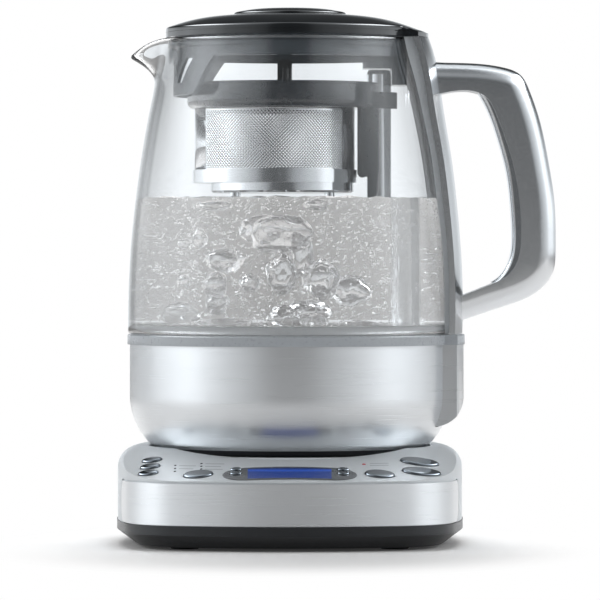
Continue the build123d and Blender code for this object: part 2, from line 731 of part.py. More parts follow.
BOTTOM_RIM = bend_point(CUP_BEND_RADIUS, JUG_FOOT_Z)[0]
BOTTOM_TOP = bend_point(CUP_BEND_RADIUS, CUP_BOTTOM_Z)[0]
BOTTOM_INNER = bend_point(CUP_BEND_RADIUS - CUP_WALL, CUP_BOTTOM_Z)[0]
CONNECTOR_RADIUS = 20.0
with BuildPart() as jug_bottom_cover:
    add(
        turned(
            [
                (CONNECTOR_RADIUS, JUG_FOOT_Z + 1.0),
                (50, JUG_FOOT_Z + 1.0),
                (50, WELL_FLOOR_Z),
                (56, WELL_FLOOR_Z),
                (57, JUG_FOOT_Z),
                (BOTTOM_RIM, JUG_FOOT_Z),
                (BOTTOM_TOP, CUP_BOTTOM_Z),
                (BOTTOM_INNER, CUP_BOTTOM_Z),
                (BOTTOM_INNER - 0.3, CUP_BOTTOM_Z + 4),
                (BOTTOM_INNER - 2.3, CUP_BOTTOM_Z + 4),
                (BOTTOM_INNER - 2.5, CUP_BOTTOM_Z),
                (CONNECTOR_RADIUS, CUP_BOTTOM_Z),
            ]
        )
    )
save(jug_bottom_cover, "jug_bottom_cover")

CONNECTOR_GAP = 0.5
CONNECTOR_TOP_Z = 58.0
with BuildPart() as jug_connector:
    add(
        turned(
            [
                (CONTACT_PIN_RADIUS + CONNECTOR_GAP, JUG_FOOT_Z + 1.0),
                (SOCKET_COLLAR_INNER - CONNECTOR_GAP, JUG_FOOT_Z + 1.0),
                (SOCKET_COLLAR_INNER - CONNECTOR_GAP, SOCKET_COLLAR_TOP_Z + 1),
                (SOCKET_COLLAR_OUTER + CONNECTOR_GAP, SOCKET_COLLAR_TOP_Z + 1),
                (SOCKET_COLLAR_OUTER + CONNECTOR_GAP, JUG_FOOT_Z + 1.0),
                (CONNECTOR_RADIUS - CONNECTOR_GAP, JUG_FOOT_Z + 1.0),
                (CONNECTOR_RADIUS - CONNECTOR_GAP, CONNECTOR_TOP_Z),
                (0, CONNECTOR_TOP_Z),
                (0, CONNECTOR_TOP_Z - 4),
                (CONTACT_PIN_RADIUS + CONNECTOR_GAP, CONNECTOR_TOP_Z - 4),
            ]
        )
    )
save(jug_connector, "jug_connector")


def ring_form(inset, bottom, top):
    """The collar between the cup and the glass, with its widening under the handle."""
    with BuildPart(mode=Mode.PRIVATE) as form:
        with BuildSketch(level(bottom)):
            Circle(RING_RADIUS - inset)
        extrude(amount=top - bottom)
        with BuildSketch(level(bottom)):
            with Locations((BULGE_RADIUS / 2 + 15, 0)):
                Rectangle(BULGE_RADIUS, 2 * (BULGE_HALF_WIDTH + 1 - inset))
            Circle(RING_BULGE_RADIUS - inset, mode=Mode.INTERSECT)
        extrude(amount=top - bottom)
    return form.part


with BuildPart() as collar_ring:
    add(ring_form(0, CUP_TOP_Z, RING_TOP_Z))
    # lip that locates inside the cup
    add(cup_form(CUP_WALL, CUP_TOP_Z - 4))
    with BuildSketch(level(CUP_TOP_Z - 5)):
        Circle(HEATER_RADIUS - 1.6)
    extrude(amount=12, mode=Mode.SUBTRACT)
    with BuildSketch(level(HEATER_Z - 1.2)):
        Circle(HEATER_RADIUS)
    extrude(amount=12, mode=Mode.SUBTRACT)
    round_edges = collar_ring.faces().sort_by(Axis.Z)[-1].outer_wire().edges()
    fillet(round_edges, radius=0.8)
save(collar_ring, "collar_ring")


# ---------------------------------------------------------------- glass
# The glass wall's outer line, as radius and height
GLASS_LINE = [
    (79.3, RING_TOP_Z),
    (79.2, 118.0),
    (78.4, 141.6),
    (75.9, 165.0),
    (73.0, 189.0),
    (68.6, 212.0),
    (66.3, 223.0),
    (63.0, 236.0),
    (RIM_RADIUS, RIM_Z),
]
# Sections of the pouring lip: height, reach towards -X and half width
LIP_CENTRE_X = -54.0
LIP_SECTIONS = [(219.0, 11.0, 9.0), (227.0, 13.2, 11.5), (236.2, 23.4, 15.5), (250.0, 41.0, 22.0)]
LIP_TIP = (-77.4, 236.2)
LIP_ROOT = (-60.5, RIM_Z)


def glass_form(inset, bottom):
    """The jug's glass shape, from bottom up past the rim, with its pouring lip."""
    line = [(radius - inset, height) for radius, height in GLASS_LINE]
    with BuildPart(mode=Mode.PRIVATE) as form:
        with BuildSketch(SECTION):
            with BuildLine():
                wall = Spline(*line)
                Polyline(wall @ 1, (0, RIM_Z), (0, RING_TOP_Z), wall @ 0)
            make_face()
        revolve(axis=JUG_AXIS)
    with BuildPart(mode=Mode.PRIVATE) as lip:
        for height, reach, half_width in LIP_SECTIONS:
            with BuildSketch(level(height)):
                with Locations((LIP_CENTRE_X, 0)):
                    Ellipse(reach - inset, half_width - inset)
        loft()
    with BuildPart(mode=Mode.PRIVATE) as whole:
        add(form.part)
        add(lip.part)
        # the rim slopes down to the tip of the lip
        slope = (LIP_ROOT[1] - LIP_TIP[1]) / (LIP_ROOT[0] - LIP_TIP[0])
        with BuildSketch(SECTION):
            with BuildLine():
                Polyline(
                    (LIP_TIP[0] - 20, LIP_TIP[1] - 20 * slope),
                    LIP_ROOT,
                    (RIM_RADIUS + 20, RIM_Z),
                    (RIM_RADIUS + 20, RIM_Z + 40),
                    (LIP_TIP[0] - 20, RIM_Z + 40),
                    close=True,
                )
            make_face()
        extrude(amount=2 * RIM_RADIUS, both=True, mode=Mode.SUBTRACT)
        if bottom < RING_TOP_Z:
            with BuildSketch(level(bottom)):
                Circle(line[0][0])
            extrude(amount=RING_TOP_Z - bottom)
    return whole.part


with BuildPart() as glass_jug:
    add(glass_form(0, RING_TOP_Z))
    add(glass_form(GLASS_WALL, RING_TOP_Z - 5), mode=Mode.SUBTRACT)
save(glass_jug, "glass_jug")

GLASS_FOOT_INNER = GLASS_LINE[0][0] - GLASS_WALL
SEAL_TOP_Z = 106.0
with BuildPart() as glass_seal:
    add(
        turned(
            [
                (HEATER_RADIUS + 0.4, RING_TOP_Z),
                (GLASS_FOOT_INNER, RING_TOP_Z),
                (GLASS_FOOT_INNER - 0.05, SEAL_TOP_Z - 0.6),
                (GLASS_FOOT_INNER - 0.8, SEAL_TOP_Z),
                (HEATER_RADIUS + 0.4, SEAL_TOP_Z),
            ]
        )
    )
save(glass_seal, "glass_seal")

# ---------------------------------------------------------------- heater
HEATER_BOTTOM_Z = HEATER_Z - 1.2
HEATER_TOP_Z = HEATER_BOTTOM_Z + HEATER_THICKNESS
HEATER_RIM_TOP_Z = 105.2
with BuildPart() as heater_plate:
    add(
        turned(
            [
                (0, HEATER_BOTTOM_Z),
                (HEATER_RADIUS, HEATER_BOTTOM_Z),
                (HEATER_RADIUS, HEATER_RIM_TOP_Z),
                (HEATER_RADIUS - 1.2, HEATER_RIM_TOP_Z),
                (HEATER_RADIUS - 2.2, HEATER_TOP_Z),
                (0, HEATER_TOP_Z),
            ]
        )
    )
    for x, radius in ((POST_X, POST_RADIUS), (PROBE_X, PROBE_RADIUS)):
        with BuildSketch(level(HEATER_BOTTOM_Z - 1)):
            with Locations((x, 0)):
                Circle(radius)
        extrude(amount=HEATER_THICKNESS + 2, mode=Mode.SUBTRACT)
save(heater_plate, "heater_plate")

ELEMENT_TURN_RADIUS = 22.0
ELEMENT_RADIUS = 3.4
ELEMENT_ARC = 320
ELEMENT_END_RADIUS = 2.2
ELEMENT_END_LENGTH = 14.0
PROBE_FLANGE_DEPTH = 12.0
with BuildPart() as heating_element:
    with BuildSketch(SECTION):
        with Locations((ELEMENT_TURN_RADIUS, HEATER_BOTTOM_Z - ELEMENT_RADIUS)):
            Circle(ELEMENT_RADIUS)
    revolve(axis=JUG_AXIS, revolution_arc=ELEMENT_ARC)
    for angle in (0, ELEMENT_ARC):
        turn = radians(angle)
        with BuildSketch(level(HEATER_BOTTOM_Z - ELEMENT_RADIUS - ELEMENT_END_LENGTH)):
            with Locations((ELEMENT_TURN_RADIUS * cos(turn), ELEMENT_TURN_RADIUS * sin(turn))):
                Circle(ELEMENT_END_RADIUS)
        extrude(amount=ELEMENT_END_LENGTH)
save(heating_element, "heating_element")

with BuildPart() as temperature_probe:
    with BuildSketch(level(HEATER_BOTTOM_Z - PROBE_FLANGE_DEPTH)):
        with Locations((PROBE_X, 0)):
            Circle(PROBE_RADIUS + 2)
    extrude(amount=PROBE_FLANGE_DEPTH)
    with BuildSketch(level(HEATER_BOTTOM_Z)):
        with Locations((PROBE_X, 0)):
            Circle(PROBE_RADIUS)
    extrude(amount=HEATER_THICKNESS + 3)
    fillet(temperature_probe.faces().sort_by(Axis.Z)[-1].edges(), radius=1)
save(temperature_probe, "temperature_probe")

# ---------------------------------------------------------------- lift post and drive
with BuildPart() as post_tube:
    add(tube(POST_RADIUS, POST_BORE, POST_BOTTOM_Z, POST_TOP_Z - 2, POST_X))
save(post_tube, "post_tube")

with BuildPart() as post_cap:
    add(
        turned(
            [
                (SCREW_CORE_RADIUS + RUNNING_GAP, SCREW_TOP_Z + 1),
                (POST_BORE, SCREW_TOP_Z + 1),
                (POST_BORE, POST_TOP_Z - 2),
                (POST_RADIUS, POST_TOP_Z - 2),
                (POST_RADIUS - 0.8, POST_TOP_Z),
                (0, POST_TOP_Z),
                (0, SCREW_TOP_Z + 6),
                (SCREW_CORE_RADIUS + RUNNING_GAP, SCREW_TOP_Z + 6),
            ],
            POST_X,
        )
    )
save(post_cap, "post_cap")

with BuildPart() as lift_motor:
    with BuildSketch(level(MOTOR_BOTTOM_Z)):
        with Locations((POST_X, 0)):
            Circle(MOTOR_RADIUS)
    extrude(amount=MOTOR_TOP_Z - MOTOR_BOTTOM_Z)
    chamfer(lift_motor.edges().filter_by(GeomType.CIRCLE), length=0.8)
    with BuildSketch(level(MOTOR_BOTTOM_Z + 4)):
        with Locations((POST_X, 0)):
            Circle(SHAFT_RADIUS + RUNNING_GAP)
    extrude(amount=MOTOR_TOP_Z, mode=Mode.SUBTRACT)
save(lift_motor, "lift_motor")

with BuildPart() as motor_mount:
    add(
        turned(
            [
                (POST_RADIUS, MOTOR_TOP_Z + 3),
                (POST_RADIUS, HEATER_BOTTOM_Z),
                (POST_RADIUS + 7, HEATER_BOTTOM_Z),
                (POST_RADIUS + 7, HEATER_BOTTOM_Z - 2),
                (POST_RADIUS + 2.4, HEATER_BOTTOM_Z - 2),
                (POST_RADIUS + 2.4, MOTOR_TOP_Z + 3),
                (MOTOR_RADIUS, MOTOR_TOP_Z + 3),
                (MOTOR_RADIUS, MOTOR_TOP_Z),
                (SHAFT_RADIUS + 3.0, MOTOR_TOP_Z),
                (SHAFT_RADIUS + 3.0, MOTOR_TOP_Z + 3),
            ],
            POST_X,
        )
    )
save(motor_mount, "motor_mount")

with BuildPart() as screw_coupler:
    add(
        turned(
            [
                (0, MOTOR_BOTTOM_Z + 5),
                (SHAFT_RADIUS, MOTOR_BOTTOM_Z + 5),
                (SHAFT_RADIUS, MOTOR_TOP_Z + 5),
                (4.4, MOTOR_TOP_Z + 5),
                (4.4, SCREW_BOTTOM_Z + 5),
                (SCREW_CORE_RADIUS, SCREW_BOTTOM_Z + 5),
                (SCREW_CORE_RADIUS, SCREW_BOTTOM_Z),
                (0, SCREW_BOTTOM_Z),
            ],
            POST_X,
        )
    )
save(screw_coupler, "screw_coupler")


def thread_line():
    """The lead screw's edge: a plain core at each end and a row of thread ridges."""
    line = [(0, SCREW_BOTTOM_Z), (SCREW_CORE_RADIUS, SCREW_BOTTOM_Z)]
    height = SCREW_BOTTOM_Z + 8
    while height < SCREW_TOP_Z - THREAD_PITCH:
        line += [
            (SCREW_CORE_RADIUS, height),
            (SCREW_RADIUS, height + THREAD_PITCH * 0.2),
            (SCREW_RADIUS, height + THREAD_PITCH * 0.6),
            (SCREW_CORE_RADIUS, height + THREAD_PITCH * 0.8),
        ]
        height += THREAD_PITCH
    return line + [(SCREW_CORE_RADIUS, SCREW_TOP_Z + 5), (0, SCREW_TOP_Z + 5)]


with BuildPart() as lead_screw:
    add(turned(thread_line(), POST_X))
save(lead_screw, "lead_screw")

with BuildPart() as magnet_carriage:
    add(
        tube(
            POST_BORE - RUNNING_GAP,
            SCREW_RADIUS + RUNNING_GAP,
            CARRIAGE_BOTTOM_Z,
            CARRIAGE_BOTTOM_Z + CARRIAGE_LENGTH,
            POST_X,
        )
    )
save(magnet_carriage, "magnet_carriage")

# ---------------------------------------------------------------- handle
# The spine's outer line, as radius and height
SPINE_LINE = [
    (84.4, 102.0),
    (83.8, 141.6),
    (81.8, 165.0),
    (78.9, 189.0),
    (75.1, 212.0),
    (71.2, 236.0),
    (68.0, RIM_Z),
]
SPINE_BOTTOM_Z = SPINE_LINE[0][1]
HANDLE_SCREW_SEATS = [70.4, 82.0]
HANDLE_SCREW_HEAD = 1.8


def spine_form(inset):
    """Everything inside the spine's outer line, moved in by inset, all round the jug."""
    line = [(radius - inset, height) for radius, height in SPINE_LINE]
    with BuildPart(mode=Mode.PRIVATE) as form:
        with BuildSketch(SECTION):
            with BuildLine():
                wall = Spline(*line)
                Polyline(wall @ 1, (0, RIM_Z), (0, SPINE_BOTTOM_Z), wall @ 0)
            make_face()
        revolve(axis=JUG_AXIS)
    return form.part


def handle_side(half_width):
    """A block that covers the handle's side of the jug."""
    with BuildPart(mode=Mode.PRIVATE) as block:
        with BuildSketch(level(SPINE_BOTTOM_Z)):
            with Locations((70, 0)):
                Rectangle(80, 2 * half_width)
        extrude(amount=RIM_Z - SPINE_BOTTOM_Z)
    return block.part


SCREW_LEVELS = [226.5, 114.5]
HANDLE_SCREW_START_X = 60.0
HANDLE_SCREW_TIP_X = 96.0
with BuildPart() as handle_screws:
    for height in SCREW_LEVELS:
        with BuildSketch(Plane((HANDLE_SCREW_START_X, 0, height), x_dir=(0, 1, 0), z_dir=(1, 0, 0))):
            Circle(SCREW_SHANK_RADIUS)
        extrude(amount=HANDLE_SCREW_TIP_X - HANDLE_SCREW_START_X)
    add(spine_form(SPINE_THICKNESS), mode=Mode.SUBTRACT)
    for height, seat_x in zip(SCREW_LEVELS, HANDLE_SCREW_SEATS):
        with BuildSketch(Plane((seat_x - HANDLE_SCREW_HEAD, 0, height), x_dir=(0, 1, 0), z_dir=(1, 0, 0))):
            Circle(SCREW_HEAD_RADIUS)
        extrude(amount=HANDLE_SCREW_HEAD)
save(handle_screws, "handle_screws")

with BuildPart() as handle_spine:
    add(spine_form(0))
    add(spine_form(SPINE_THICKNESS), mode=Mode.SUBTRACT)
    add(handle_side(SPINE_HALF_WIDTH), mode=Mode.INTERSECT)
    add(handle_screws.part, mode=Mode.SUBTRACT)
save(handle_spine, "handle_spine")

with BuildPart() as spine_liner:
    add(spine_form(SPINE_THICKNESS))
    add(glass_form(0, SPINE_BOTTOM_Z + 5), mode=Mode.SUBTRACT)
    add(handle_side(SPINE_HALF_WIDTH - 1.5), mode=Mode.INTERSECT)
    add(handle_screws.part, mode=Mode.SUBTRACT)
save(spine_liner, "spine_liner")

# The handle's outer and inner lines, from the upper arm round to the lower arm
HANDLE_OUTER = [
    (60.0, 236.2),
    (84.0, 234.0),
    (104.0, 231.9),
    (112.7, 228.2),
    (117.2, 220.5),
    (121.9, 207.0),
    (126.6, 185.0),
    (129.3, 167.0),
    (130.0, 145.0),
    (127.9, 130.0),
    (120.5, 121.8),
    (102.4, 114.2),
    (84.8, 108.3),
    (70.0, 104.0),
]
HANDLE_INNER = [
    (60.0, 217.0),
    (75.0, 219.2),
    (86.0, 220.4),
    (94.6, 218.0),
    (101.4, 207.0),
    (107.4, 190.0),
    (111.6, 170.0),
    (112.8, 150.0),
    (111.2, 138.0),
    (106.0, 130.2),
    (96.5, 125.2),
    (84.8, 120.6),
    (70.0, 116.0),
]
HANDLE_OUTER_ROUND = 9.0
HANDLE_INNER_ROUND = 3.5

# Grip strip set into the handle's inner face: its proud face line
INSERT_LINE = [
    (92.0, 219.4),
    (97.6, 208.5),
    (102.0, 195.5),
    (105.6, 182.0),
    (107.8, 165.0),
    (108.6, 149.5),
    (107.6, 139.0),
    (103.6, 131.0),
    (98.5, 127.0),
]
INSERT_BACK_LINE = [
    (96.5, 221.0),
    (103.5, 208.5),
    (109.5, 190.0),
    (113.8, 170.0),
    (115.0, 150.0),
    (113.4, 137.0),
    (107.5, 128.6),
    (101.0, 124.8),
]
INSERT_HALF_WIDTH = 8.5
INSERT_EDGE_ROUND = 2.0

with BuildPart() as grip_block:
    with BuildSketch(Plane.XZ.offset(-INSERT_HALF_WIDTH)):
        with BuildLine():
            face_line = Spline(*INSERT_LINE)
            back_line = Spline(*INSERT_BACK_LINE)
            Line(face_line @ 0, back_line @ 0)
            Line(face_line @ 1, back_line @ 1)
        make_face()
    extrude(amount=2 * INSERT_HALF_WIDTH)

with BuildPart() as handle_insert:
    add(grip_block.part)
    proud_edges = handle_insert.edges().filter_by(GeomType.BSPLINE).sort_by(Axis.X)[:2]
    fillet(proud_edges, radius=INSERT_EDGE_ROUND)
save(handle_insert, "handle_insert")

with BuildPart() as handle:
    with BuildSketch(Plane.XZ.offset(-HANDLE_HALF_WIDTH)):
        with BuildLine():
            outer_line = Spline(*HANDLE_OUTER)
            inner_line = Spline(*HANDLE_INNER)
            Line(outer_line @ 0, inner_line @ 0)
            Line(outer_line @ 1, inner_line @ 1)
        make_face()
    extrude(amount=2 * HANDLE_HALF_WIDTH)
    outer_edges = handle.edges().filter_by(GeomType.BSPLINE).group_by(SortBy.LENGTH)[-1]
    fillet(outer_edges, radius=HANDLE_OUTER_ROUND)
    # the shortest lines left are the end arcs of that rounding
    inner_edges = handle.edges().filter_by(GeomType.BSPLINE).group_by(SortBy.LENGTH)[1]
    fillet(inner_edges, radius=HANDLE_INNER_ROUND)
    add(spine_form(0), mode=Mode.SUBTRACT)
    add(handle_insert.part, mode=Mode.SUBTRACT)
    add(handle_screws.part, mode=Mode.SUBTRACT)
save(handle, "handle")

# ---------------------------------------------------------------- lid
LID_DOME = [
    (KNOB_RADIUS - 4, KNOB_BASE_Z + 1.2),
    (41.0, 256.3),
    (48.5, 254.9),
    (54.0, 253.4),
    (61.0, 251.0),
    (66.2, 249.1),
]
KNOB_CROWN = [
    (0, KNOB_TOP_Z),
    (8.0, 260.9),
    (15.2, 260.6),
    (21.0, 260.0),
    (25.3, 259.2),
    (KNOB_RADIUS, 257.9),
]


def dome_form(inset):
    """Everything under the lid's domed top, lowered by inset."""
    line = [(radius, height - inset) for radius, height in LID_DOME]
    with BuildPart(mode=Mode.PRIVATE) as form:
        with BuildSketch(SECTION):
            with BuildLine():
                dome = Spline(*line)
                Polyline(
                    dome @ 1,
                    (LID_TAIL_RADIUS, LID_DOME[-1][1] - 1.4 - inset),
                    (LID_TAIL_RADIUS, LID_BOTTOM_Z - 5),
                    (0, LID_BOTTOM_Z - 5),
                    (0, line[0][1]),
                    dome @ 0,
                )
            make_face()
        revolve(axis=JUG_AXIS)
    return form.part


def lid_plan(inset, bottom, top):
    """The lid's plan, a disc with a tail over the spine, as a slab."""
    with BuildPart(mode=Mode.PRIVATE) as slab:
        with BuildSketch(level(bottom)):
            with Locations((LID_RADIUS / 2 + 15, 0)):
                Rectangle(LID_RADIUS, 2 * (LID_TAIL_HALF_WIDTH - inset))
            Circle(LID_TAIL_RADIUS - inset, mode=Mode.INTERSECT)
            Circle(LID_RADIUS - inset)
        extrude(amount=top - bottom)
    return slab.part


GROOVE_DEPTH = 0.8
with BuildPart() as lid_hollow:
    add(dome_form(LID_SHELL))
    with BuildSketch(level(LID_GROOVE_Z - 1)):
        Circle(LID_RADIUS - LID_SHELL)
    extrude(amount=KNOB_TOP_Z - LID_GROOVE_Z, mode=Mode.INTERSECT)

with BuildPart() as lid_top:
    add(lid_plan(0, LID_GROOVE_Z + LID_GROOVE_HEIGHT, KNOB_TOP_Z))
    add(lid_plan(GROOVE_DEPTH, LID_GROOVE_Z, LID_GROOVE_Z + LID_GROOVE_HEIGHT + 1))
    add(dome_form(0), mode=Mode.INTERSECT)
    with BuildSketch(level(KNOB_BASE_Z)):
        Circle(KNOB_RADIUS + 0.2)
    extrude(amount=10, mode=Mode.SUBTRACT)
    add(lid_hollow.part, mode=Mode.SUBTRACT)
save(lid_top, "lid_top")

with BuildPart() as lid_knob:
    with BuildSketch(SECTION):
        with BuildLine():
            crown = Spline(*KNOB_CROWN, tangents=((1, 0), (0, -1)))
            Polyline(crown @ 1, (KNOB_RADIUS, KNOB_BASE_Z), (0, KNOB_BASE_Z), crown @ 0)
        make_face()
    revolve(axis=JUG_AXIS)
save(lid_knob, "lid_knob")

with BuildPart() as lid_rim:
    add(lid_plan(0, LID_BOTTOM_Z, LID_GROOVE_Z))
save(lid_rim, "lid_rim")

GUIDE_CLEARANCE = 0.6
GUIDE_SIDE = 19.0
# The strainer's three windows, as Y and Z corners: the middle one and one of the flank pair
STRAINER_MIDDLE = [(-12, 233.0), (12, 233.0), (9, 223.5), (-9, 223.5)]
STRAINER_FLANK = [(29.4, 235.0), (34.2, 235.0), (24.8, 223.5), (19.2, 223.5)]


def strainer_windows():
    """The windows as blocks that run out through the skirt towards the spout."""
    with BuildPart(mode=Mode.PRIVATE) as blocks:
        with BuildSketch(Plane.YZ.offset(-SKIRT_RADIUS - 5)):
            for corners in (
                STRAINER_MIDDLE,
                STRAINER_FLANK,
                [(-y, z) for y, z in STRAINER_FLANK],
            ):
                with BuildLine():
                    Polyline(*corners, close=True)
                make_face()
        extrude(amount=SKIRT_RADIUS - 15)
    return blocks.part


with BuildPart() as lid_skirt:
    add(tube(SKIRT_RADIUS, SKIRT_RADIUS - SKIRT_WALL, STRAINER_BOTTOM_Z, LID_BOTTOM_Z))
    # below the skirt only the strainer on the spout's side is left
    with BuildSketch(Plane.YZ.offset(-30)):
        Rectangle(3 * SKIRT_RADIUS, 2 * SKIRT_BOTTOM_Z)
    extrude(amount=3 * SKIRT_RADIUS, mode=Mode.SUBTRACT)
    with BuildSketch(Plane.YZ.offset(-SKIRT_RADIUS - 1)) as strainer_side:
        with BuildLine():
            Polyline(
                (-44.5, LID_BOTTOM_Z),
                (-44.5, SKIRT_BOTTOM_Z),
                (-34.2, STRAINER_BOTTOM_Z),
                (34.2, STRAINER_BOTTOM_Z),
                (44.5, SKIRT_BOTTOM_Z),
                (44.5, LID_BOTTOM_Z),
                close=True,
            )
        make_face()
        fillet(strainer_side.vertices().group_by(Axis.Y)[0], radius=4)
    extrude(amount=SKIRT_RADIUS - 20, mode=Mode.INTERSECT)
    add(tube(SKIRT_RADIUS, SKIRT_RADIUS - SKIRT_WALL, SKIRT_BOTTOM_Z, LID_BOTTOM_Z))
    add(strainer_windows(), mode=Mode.SUBTRACT)
    # bead that centres the lid in the glass
    add(
        turned(
            [
                (SKIRT_RADIUS - 0.5, BEAD_BOTTOM_Z),
                (SKIRT_RADIUS + BEAD_HEIGHT, BEAD_BOTTOM_Z + 1),
                (SKIRT_RADIUS + BEAD_HEIGHT, BEAD_BOTTOM_Z + 3),
                (SKIRT_RADIUS - 0.5, BEAD_BOTTOM_Z + 4),
            ]
        )
    )
    # guide block over the lift post, with a leg outside it
    with BuildSketch(level(POST_TOP_Z + GUIDE_CLEARANCE)):
        with Locations((POST_X + 1.5, 0)):
            RectangleRounded(GUIDE_SIDE, GUIDE_SIDE, 3)
    extrude(amount=LID_BOTTOM_Z - POST_TOP_Z - GUIDE_CLEARANCE)
    with BuildSketch(level(LEG_BOTTOM_Z)):
        Circle(SKIRT_RADIUS)
        Circle(LEG_INNER_RADIUS, mode=Mode.SUBTRACT)
        with Locations((LEG_INNER_RADIUS + 4, 0)):
            Rectangle(20, 2 * LEG_HALF_WIDTH, mode=Mode.INTERSECT)
    extrude(amount=LID_BOTTOM_Z - LEG_BOTTOM_Z)
save(lid_skirt, "lid_skirt")

with BuildPart() as strainer_mesh:
    add(tube(SKIRT_RADIUS - 0.7, SKIRT_RADIUS - 1.1, STRAINER_BOTTOM_Z, LID_BOTTOM_Z))
    add(strainer_windows(), mode=Mode.INTERSECT)
save(strainer_mesh, "strainer_mesh")

# ---------------------------------------------------------------- tea basket
with BuildPart() as slider_magnets:
    for bottom in (CARRIAGE_BOTTOM_Z, CARRIAGE_BOTTOM_Z + CARRIAGE_LENGTH / 2):
        with BuildSketch(level(bottom)):
            with Locations((MAGNET_X, 0)):
                Rectangle(MAGNET_THICKNESS, MAGNET_WIDTH)
        extrude(amount=CARRIAGE_LENGTH / 2 - 0.4)
save(slider_magnets, "slider_magnets")

with BuildPart() as slider:
    with BuildSketch(Plane.XZ.offset(-SLIDER_HALF_WIDTH)) as slider_side:
        with BuildLine():
            Polyline(
                (SLIDER_LEFT_X, COLLAR_BOTTOM_Z + 1),
                (SLIDER_LEFT_X, SLIDER_BOTTOM_Z),
                (POST_X - 0.5, SLIDER_BOTTOM_Z + 3),
                (POST_X - 0.5, COLLAR_BOTTOM_Z + 1),
                close=True,
            )
        make_face()
        fillet(slider_side.vertices().sort_by(Axis.Y)[0], radius=2.5)
    extrude(amount=2 * SLIDER_HALF_WIDTH)
    fillet(slider.edges().filter_by(Axis.Z).sort_by(Axis.X)[:2], radius=3)
    with BuildSketch(Plane.XZ.offset(-PRONG_HALF_WIDTH)):
        with BuildLine():
            Polyline(
                (PRONG_LEFT_X, SLIDER_BOTTOM_Z + 5),
                (PRONG_LEFT_X, PRONG_BOTTOM_Z),
                (PRONG_LEFT_X + 2, PRONG_BOTTOM_Z - 0.5),
                (POST_X - 1.5, PRONG_BOTTOM_Z + 3),
                (POST_X - 0.5, SLIDER_BOTTOM_Z + 5),
                close=True,
            )
        make_face()
    extrude(amount=2 * PRONG_HALF_WIDTH)

BASKET_RIM_BODY = BASKET_RIM_RADIUS - 0.5
RIM_FOOT_RADIUS = BASKET_RIM_BODY - RIM_FOOT_ROUND
RIM_LIP_Z = BASKET_RIM_TOP_Z - 1.3
RIM_INNER_RADIUS = BASKET_RIM_BODY - BASKET_RIM_WALL
with BuildPart() as basket_rim:
    with BuildSketch(Plane((RIM_CENTRE_X, 0, 0), x_dir=(1, 0, 0), z_dir=(0, -1, 0))):
        with BuildLine():
            Line((20, BASKET_RIM_BOTTOM_Z), (RIM_FOOT_RADIUS, BASKET_RIM_BOTTOM_Z))
            RadiusArc(
                (RIM_FOOT_RADIUS, BASKET_RIM_BOTTOM_Z),
                (BASKET_RIM_BODY, BASKET_RIM_BOTTOM_Z + RIM_FOOT_ROUND),
                -RIM_FOOT_ROUND,
            )
            Polyline(
                (BASKET_RIM_BODY, BASKET_RIM_BOTTOM_Z + RIM_FOOT_ROUND),
                (BASKET_RIM_BODY, RIM_LIP_Z),
                (BASKET_RIM_RADIUS, RIM_LIP_Z + 0.3),
                (BASKET_RIM_RADIUS, BASKET_RIM_TOP_Z - 0.3),
                (BASKET_RIM_RADIUS - 0.4, BASKET_RIM_TOP_Z),
                (RIM_INNER_RADIUS, BASKET_RIM_TOP_Z),
                (RIM_INNER_RADIUS, BASKET_RIM_BOTTOM_Z + BASKET_RIM_WALL),
                (20, BASKET_RIM_BOTTOM_Z + BASKET_RIM_WALL),
                (20, BASKET_RIM_BOTTOM_Z),
            )
        make_face()
    revolve(axis=Axis((RIM_CENTRE_X, 0, 0), (0, 0, 1)))
    with BuildSketch(level(BASKET_RIM_BOTTOM_Z - 1)):
        with Locations((MESH_CENTRE_X, 0)):
            Circle(MESH_RADIUS - MESH_WALL)
    extrude(amount=BASKET_RIM_WALL + 1.5, mode=Mode.SUBTRACT)
    # collar round the post and the slider under it
    with BuildSketch(level(COLLAR_BOTTOM_Z)):
        with Locations((POST_X, 0)):
            Circle(COLLAR_RADIUS)
    extrude(amount=COLLAR_TOP_Z - COLLAR_BOTTOM_Z)
    add(slider.part)
    with BuildSketch(level(PRONG_BOTTOM_Z - 2)):
        with Locations((POST_X, 0)):
            Circle(POST_RADIUS + SLIDER_GAP)
    extrude(amount=60, mode=Mode.SUBTRACT)
    add(slider_magnets.part, mode=Mode.SUBTRACT)
save(basket_rim, "basket_rim")

with BuildPart() as basket_mesh:
    add(tube(MESH_RADIUS, MESH_RADIUS - MESH_WALL, MESH_BOTTOM_Z, BASKET_RIM_BOTTOM_Z, MESH_CENTRE_X))
save(basket_mesh, "basket_mesh")

BAND_BOTTOM_Z = MESH_BOTTOM_Z - 0.6
BASE_SHEET = 0.8
FOOT_SPACING_X = 46.0
FOOT_SPACING_Y = 34.0
BASKET_FOOT_RADIUS = 2.4

with BuildPart() as basket_band:
    add(
        tube(
            MESH_RADIUS + BAND_WALL,
            MESH_RADIUS,
            BAND_BOTTOM_Z,
            BAND_BOTTOM_Z + BAND_HEIGHT,
            MESH_CENTRE_X,
        )
    )
save(basket_band, "basket_band")

